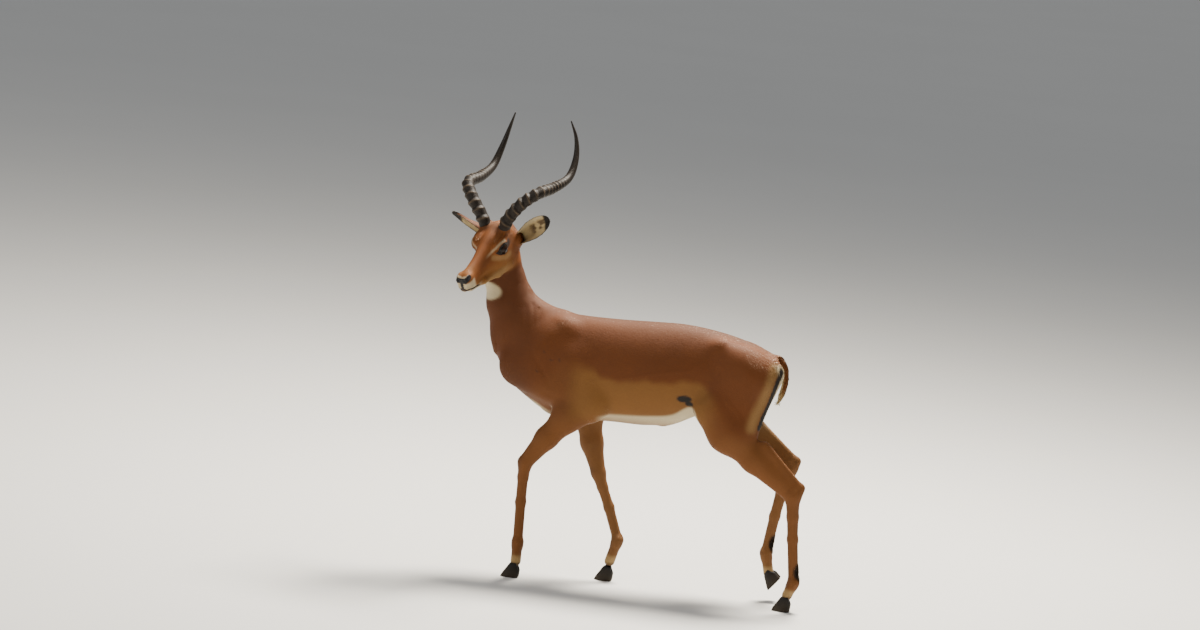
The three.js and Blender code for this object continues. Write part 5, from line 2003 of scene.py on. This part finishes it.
@dataclass
class Horns:
    """Both lyre-shaped horns, with strong rings on the front of their lower half."""

    line: tuple = (
        (58, 34, 40), (48, 48, 68), (18, 92, 114), (-24, 126, 128), (-100, 133, 102),
        (-182, 140, 90), (-244, 136, 122), (-284, 123, 167), (-305, 103, 214),
    )
    rows: int = 340
    around: int = 56
    base_radius: float = 19.2
    tip_radius: float = 2.0
    first_pitch: float = 31.0  # from ring to ring at the base
    last_pitch: float = 13.0
    ringed_part: float = 0.60
    ring_height: float = 6.2

    def build(self, side: int, name: str) -> bpy.types.Object:
        """Returns the horn on one side."""
        handles = np.array([HEAD.place(p, side) for p in self.line])
        centres, share, length = curve_through(handles, self.rows)
        tangents = unit(np.gradient(centres, axis=0))
        front = HEAD.direction((0.75, 0.0, 0.66), side)
        normals = unit(front - (tangents @ front)[:, None] * tangents)
        for i in range(1, self.rows):
            carried = normals[i - 1] - (normals[i - 1] @ tangents[i]) * tangents[i]
            normals[i] = unit(carried)
        binormals = np.cross(tangents, normals)
        angle = np.linspace(0, 2 * math.pi, self.around, endpoint=False)
        pitch = mix(self.first_pitch, self.last_pitch, np.clip(share / self.ringed_part, 0, 1))
        phase = np.cumsum(np.append(0, np.diff(share) * length / pitch[1:]))
        facing = 0.5 + 0.5 * np.cos(angle)
        swirl = phase[:, None] + 0.10 * np.sin(angle)[None, :] - 0.12 * facing[None, :]
        saw = swirl % 1.0
        wave = np.where(saw < 0.72, (saw / 0.72) ** 1.6, ((1 - saw) / 0.28) ** 0.8)
        fade = smoothstep(share, self.ringed_part + 0.02, self.ringed_part - 0.12)[:, None]
        fade = fade * smoothstep(share, 0.0, 0.03)[:, None]
        weight = (0.10 + 0.90 * facing[None, :] ** 1.2) * fade
        taper = mix(self.base_radius, self.tip_radius, share**2.2)[:, None]
        size = np.clip(taper / self.base_radius, 0.3, 1)
        radius = taper - 1.0 * weight + self.ring_height * size * weight * (wave - 0.15)
        ring = np.cos(angle)[None, :, None] * normals[:, None, :] + np.sin(angle)[None, :, None] * binormals[:, None, :]
        points = (centres[:, None, :] + radius[..., None] * ring).reshape(-1, 3)
        points = np.concatenate([points, [centres[0], centres[-1] + tangents[-1] * 2.0]])
        faces = tube_quads(self.rows, self.around)
        faces += cap_fans(self.rows, self.around, len(points) - 2, len(points) - 1)
        mesh = mesh_from(name, points, faces)
        # pale crest paint only on the upper, front side of the ridges: partly wear, partly a painted highlight
        upper = smoothstep(np.cos(angle), -0.35, 0.75)[None, :]
        crest = (smoothstep(wave, 0.62, 0.96) * upper * fade).ravel()
        tip = np.repeat(smoothstep(share, self.ringed_part - 0.04, self.ringed_part + 0.12), self.around)
        carry(mesh, "crest", "FLOAT", np.append(crest, (0, 0)))
        carry(mesh, "tip", "FLOAT", np.append(tip, (0, 1)))
        return add_object(name, mesh, HornFinish().material())


@dataclass
class Hooves:
    """The eight claws of the cloven hooves."""

    body: Body
    front: float = 38.0
    back: float = 20.0
    half_width: float = 10.5
    height: float = 48.0
    heel_height: float = 26.0
    spread: float = 11.6
    lean: float = 12.0
    hoof_turn: float = 52.0  # degrees that the lifted hind hoof hangs down
    around: int = 56
    levels: tuple[float, ...] = (0.0, 0.02, 0.06, 0.12, 0.22, 0.34, 0.46, 0.58, 0.70, 0.80, 0.88, 0.94, 0.98)

    def ring(self, level: float) -> Array:
        """Returns the claw's outline at one share of its height."""
        angle = -2 * math.pi * np.arange(self.around) / self.around
        c, n = np.cos(angle), np.sin(angle)
        reach = np.where(c > 0, self.front, self.back) * mix(1, 0.52, level)
        narrow = np.where(c > 0, 1 - 0.62 * np.abs(c) ** 3, 1)
        width = self.half_width * narrow * mix(1, 0.86, level)
        swell = 0.94 + 0.055 * min(level / 0.12, 1.0)
        ripple = 1 + 0.006 * math.sin(level * 40)
        top = np.where(c > 0, self.height, mix(self.height, self.heel_height, -c))
        shrink = math.sqrt(max(0.0, 1 - max(0.0, (level - 0.8) / 0.2) ** 2)) * 0.6 + 0.4
        x = -reach * c * swell * ripple * shrink + self.lean * level
        return np.column_stack([x, width * n * swell * ripple * shrink, level * top])

    def build(self, side: int, joints: dict, turned: bool, place: int, name: str) -> bpy.types.Object:
        """Returns one claw.

        Args:
            side: the side of the body.
            joints: the leg's joint places by name.
            turned: whether the hoof is lifted and hangs down.
            place: 1 or -1, the claw's side of the foot.
            name: the piece's name.

        Returns:
            The claw as an object.
        """
        rings = [self.ring(level) for level in self.levels]
        crown = np.array([[self.lean, 0, self.height * 0.8]])
        points = np.concatenate([*rings, [[0.0, 0, 0]], crown])
        coronet = joints["coronet"]
        start = np.array([coronet[0] - self.lean * 0.6, side * coronet[1] + place * self.spread, 0.0])
        if turned:
            turn = np.array(Matrix.Rotation(math.radians(-self.hoof_turn), 3, "Y"))
            points = (points - np.array([0, 0, 44.0])) @ turn.T
            start[2] = coronet[2]
        rows = len(rings)
        faces = tube_quads(rows, self.around) + cap_fans(rows, self.around, len(points) - 2, len(points) - 1)
        mesh = mesh_from(name, points + start, faces)
        levels = np.append(np.repeat(self.levels, self.around), (0, 1))
        carry(mesh, "level", "FLOAT", levels)
        return add_object(name, mesh, HoofFinish().material())


# ---------------------------------------------------------------- scene
@dataclass(frozen=True)
class View:
    """The camera and the room round the model."""

    target_height: float = 844.36
    azimuth: float = 6.0  # degrees
    elevation: float = 9.0
    roll: float = 5.93
    distance: float = 13000.0
    lens: float = 125.82
    floor_size: float = 90.0  # metres

    def camera(self) -> bpy.types.Object:
        """Sets the camera where the ram is seen a little from above and from behind its shoulder."""
        azimuth, elevation, roll = (math.radians(a) for a in (self.azimuth, self.elevation, self.roll))
        back = np.array([
            math.sin(azimuth) * math.cos(elevation), -math.cos(azimuth) * math.cos(elevation), math.sin(elevation),
        ])
        right = unit(np.cross([0.0, 0.0, 1.0], back))
        up = np.cross(back, right)
        right, up = right * math.cos(roll) + up * math.sin(roll), up * math.cos(roll) - right * math.sin(roll)
        place = (np.array([0, 0, self.target_height]) + SHIFT + back * self.distance) * MM
        data = bpy.data.cameras.new("camera")
        data.lens, data.sensor_width, data.sensor_fit = self.lens, 36.0, "HORIZONTAL"
        data.clip_end = 500.0
        made = bpy.data.objects.new("camera", data)
        turn = Matrix([(right[k], up[k], back[k]) for k in range(3)]).to_4x4()
        made.matrix_world = Matrix.Translation(Vector(place)) @ turn
        bpy.context.scene.collection.objects.link(made)
        bpy.context.scene.camera = made
        return made

    def floor(self) -> bpy.types.Object:
        """Lays the floor."""
        mesh = bpy.data.meshes.new("floor")
        h = self.floor_size / 2
        mesh.from_pydata([(-h, -h, 0), (h, -h, 0), (h, h, 0), (-h, h, 0)], [], [(0, 1, 2, 3)])
        made = add_object("floor", mesh, FloorFinish().material())
        return made

    def light(self, name: str, place: tuple, aim: tuple, size: float, watts: float, colour: Colour) -> None:
        """Adds a square lamp that looks at a place, all in metres."""
        data = bpy.data.lights.new(name, "AREA")
        data.size, data.energy, data.color = size, watts, colour
        made = bpy.data.objects.new(name, data)
        made.location = place
        made.rotation_euler = (Vector(aim) - Vector(place)).to_track_quat("-Z", "Y").to_euler()
        bpy.context.scene.collection.objects.link(made)

    def lights(self) -> None:
        """Sets a soft sky, a warm lamp above and behind, and a weak one in front."""
        world = bpy.data.worlds.new("sky")
        world.use_nodes = True
        tree = world.node_tree
        tree.nodes.clear()
        nodes = Nodes(tree)
        sky = nodes.node("ShaderNodeBackground", None, {"Color": (0.93, 0.96, 1.0, 1), "Strength": 0.36})
        nodes.node("ShaderNodeOutputWorld", None, {"Surface": sky.outputs[0]})
        bpy.context.scene.world = world
        self.light("lamp_above", (0.6, 1.4, 4.6), (0.0, 0.0, 0.7), 1.3, 900.0, (1.0, 0.93, 0.82))
        self.light("lamp_front", (-3.4, -4.2, 3.4), (-0.1, 0.0, 0.8), 2.6, 130.0, (1.0, 0.96, 0.90))


# ---------------------------------------------------------------- the whole
FLESH_NODES = (
    "head", "neck", "trunk", "tail", "ear_left", "ear_right",
    "foreleg_left", "foreleg_right", "hindleg_left", "hindleg_right",
)


def enter(piece: bpy.types.Object, slot: str, *nodes: str) -> None:
    """Joins a piece to the row.

    Args:
        piece: the piece.
        slot: the record's material slot; not used.
        nodes: the CAD nodes that it stands for.
    """
    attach(piece, "root")
    if nodes:
        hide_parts(*nodes)
    log.info("%s: %d faces", piece.name, len(piece.data.polygons))


def build_hooves(body: Body) -> None:
    """Builds the eight claws."""
    hooves = Hooves(body)
    for pair, legs in (("fore", body.foreleg), ("hind", body.hindleg)):
        for side_name, side in SIDES.items():
            turned = pair == "hind" and side == RIGHT
            for place, place_name in ((side, "outer"), (-side, "inner")):
                node = f"hoof_{pair}_{side_name}_{place_name}"
                claw = hooves.build(side, legs[side], turned, place, f"claw_{pair}_{side_name}_{place_name}")
                enter(claw, "hoof", node)


def main() -> None:
    """Builds the scene."""
    logging.basicConfig(level=logging.INFO, format="%(message)s")
    view = View()
    view.camera()
    view.floor()
    view.lights()
    body = Body()
    flesh = Flesh(body.shapes())
    skin = Skin(flesh, Markings(flesh, body)).build()
    enter(skin, "hide", *FLESH_NODES)
    coat = Coat(skin)
    for patch in PATCHES:
        enter(coat.piece(patch), patch.slot)
    for name, side in SIDES.items():
        enter(Eyes().build(side, f"eyeball_{name}"), "eye", f"eye_{name}")
        enter(Horns().build(side, f"ridged_horn_{name}"), "horn", f"horn_{name}")
    build_hooves(body)


if __name__ == "__main__":
    main()
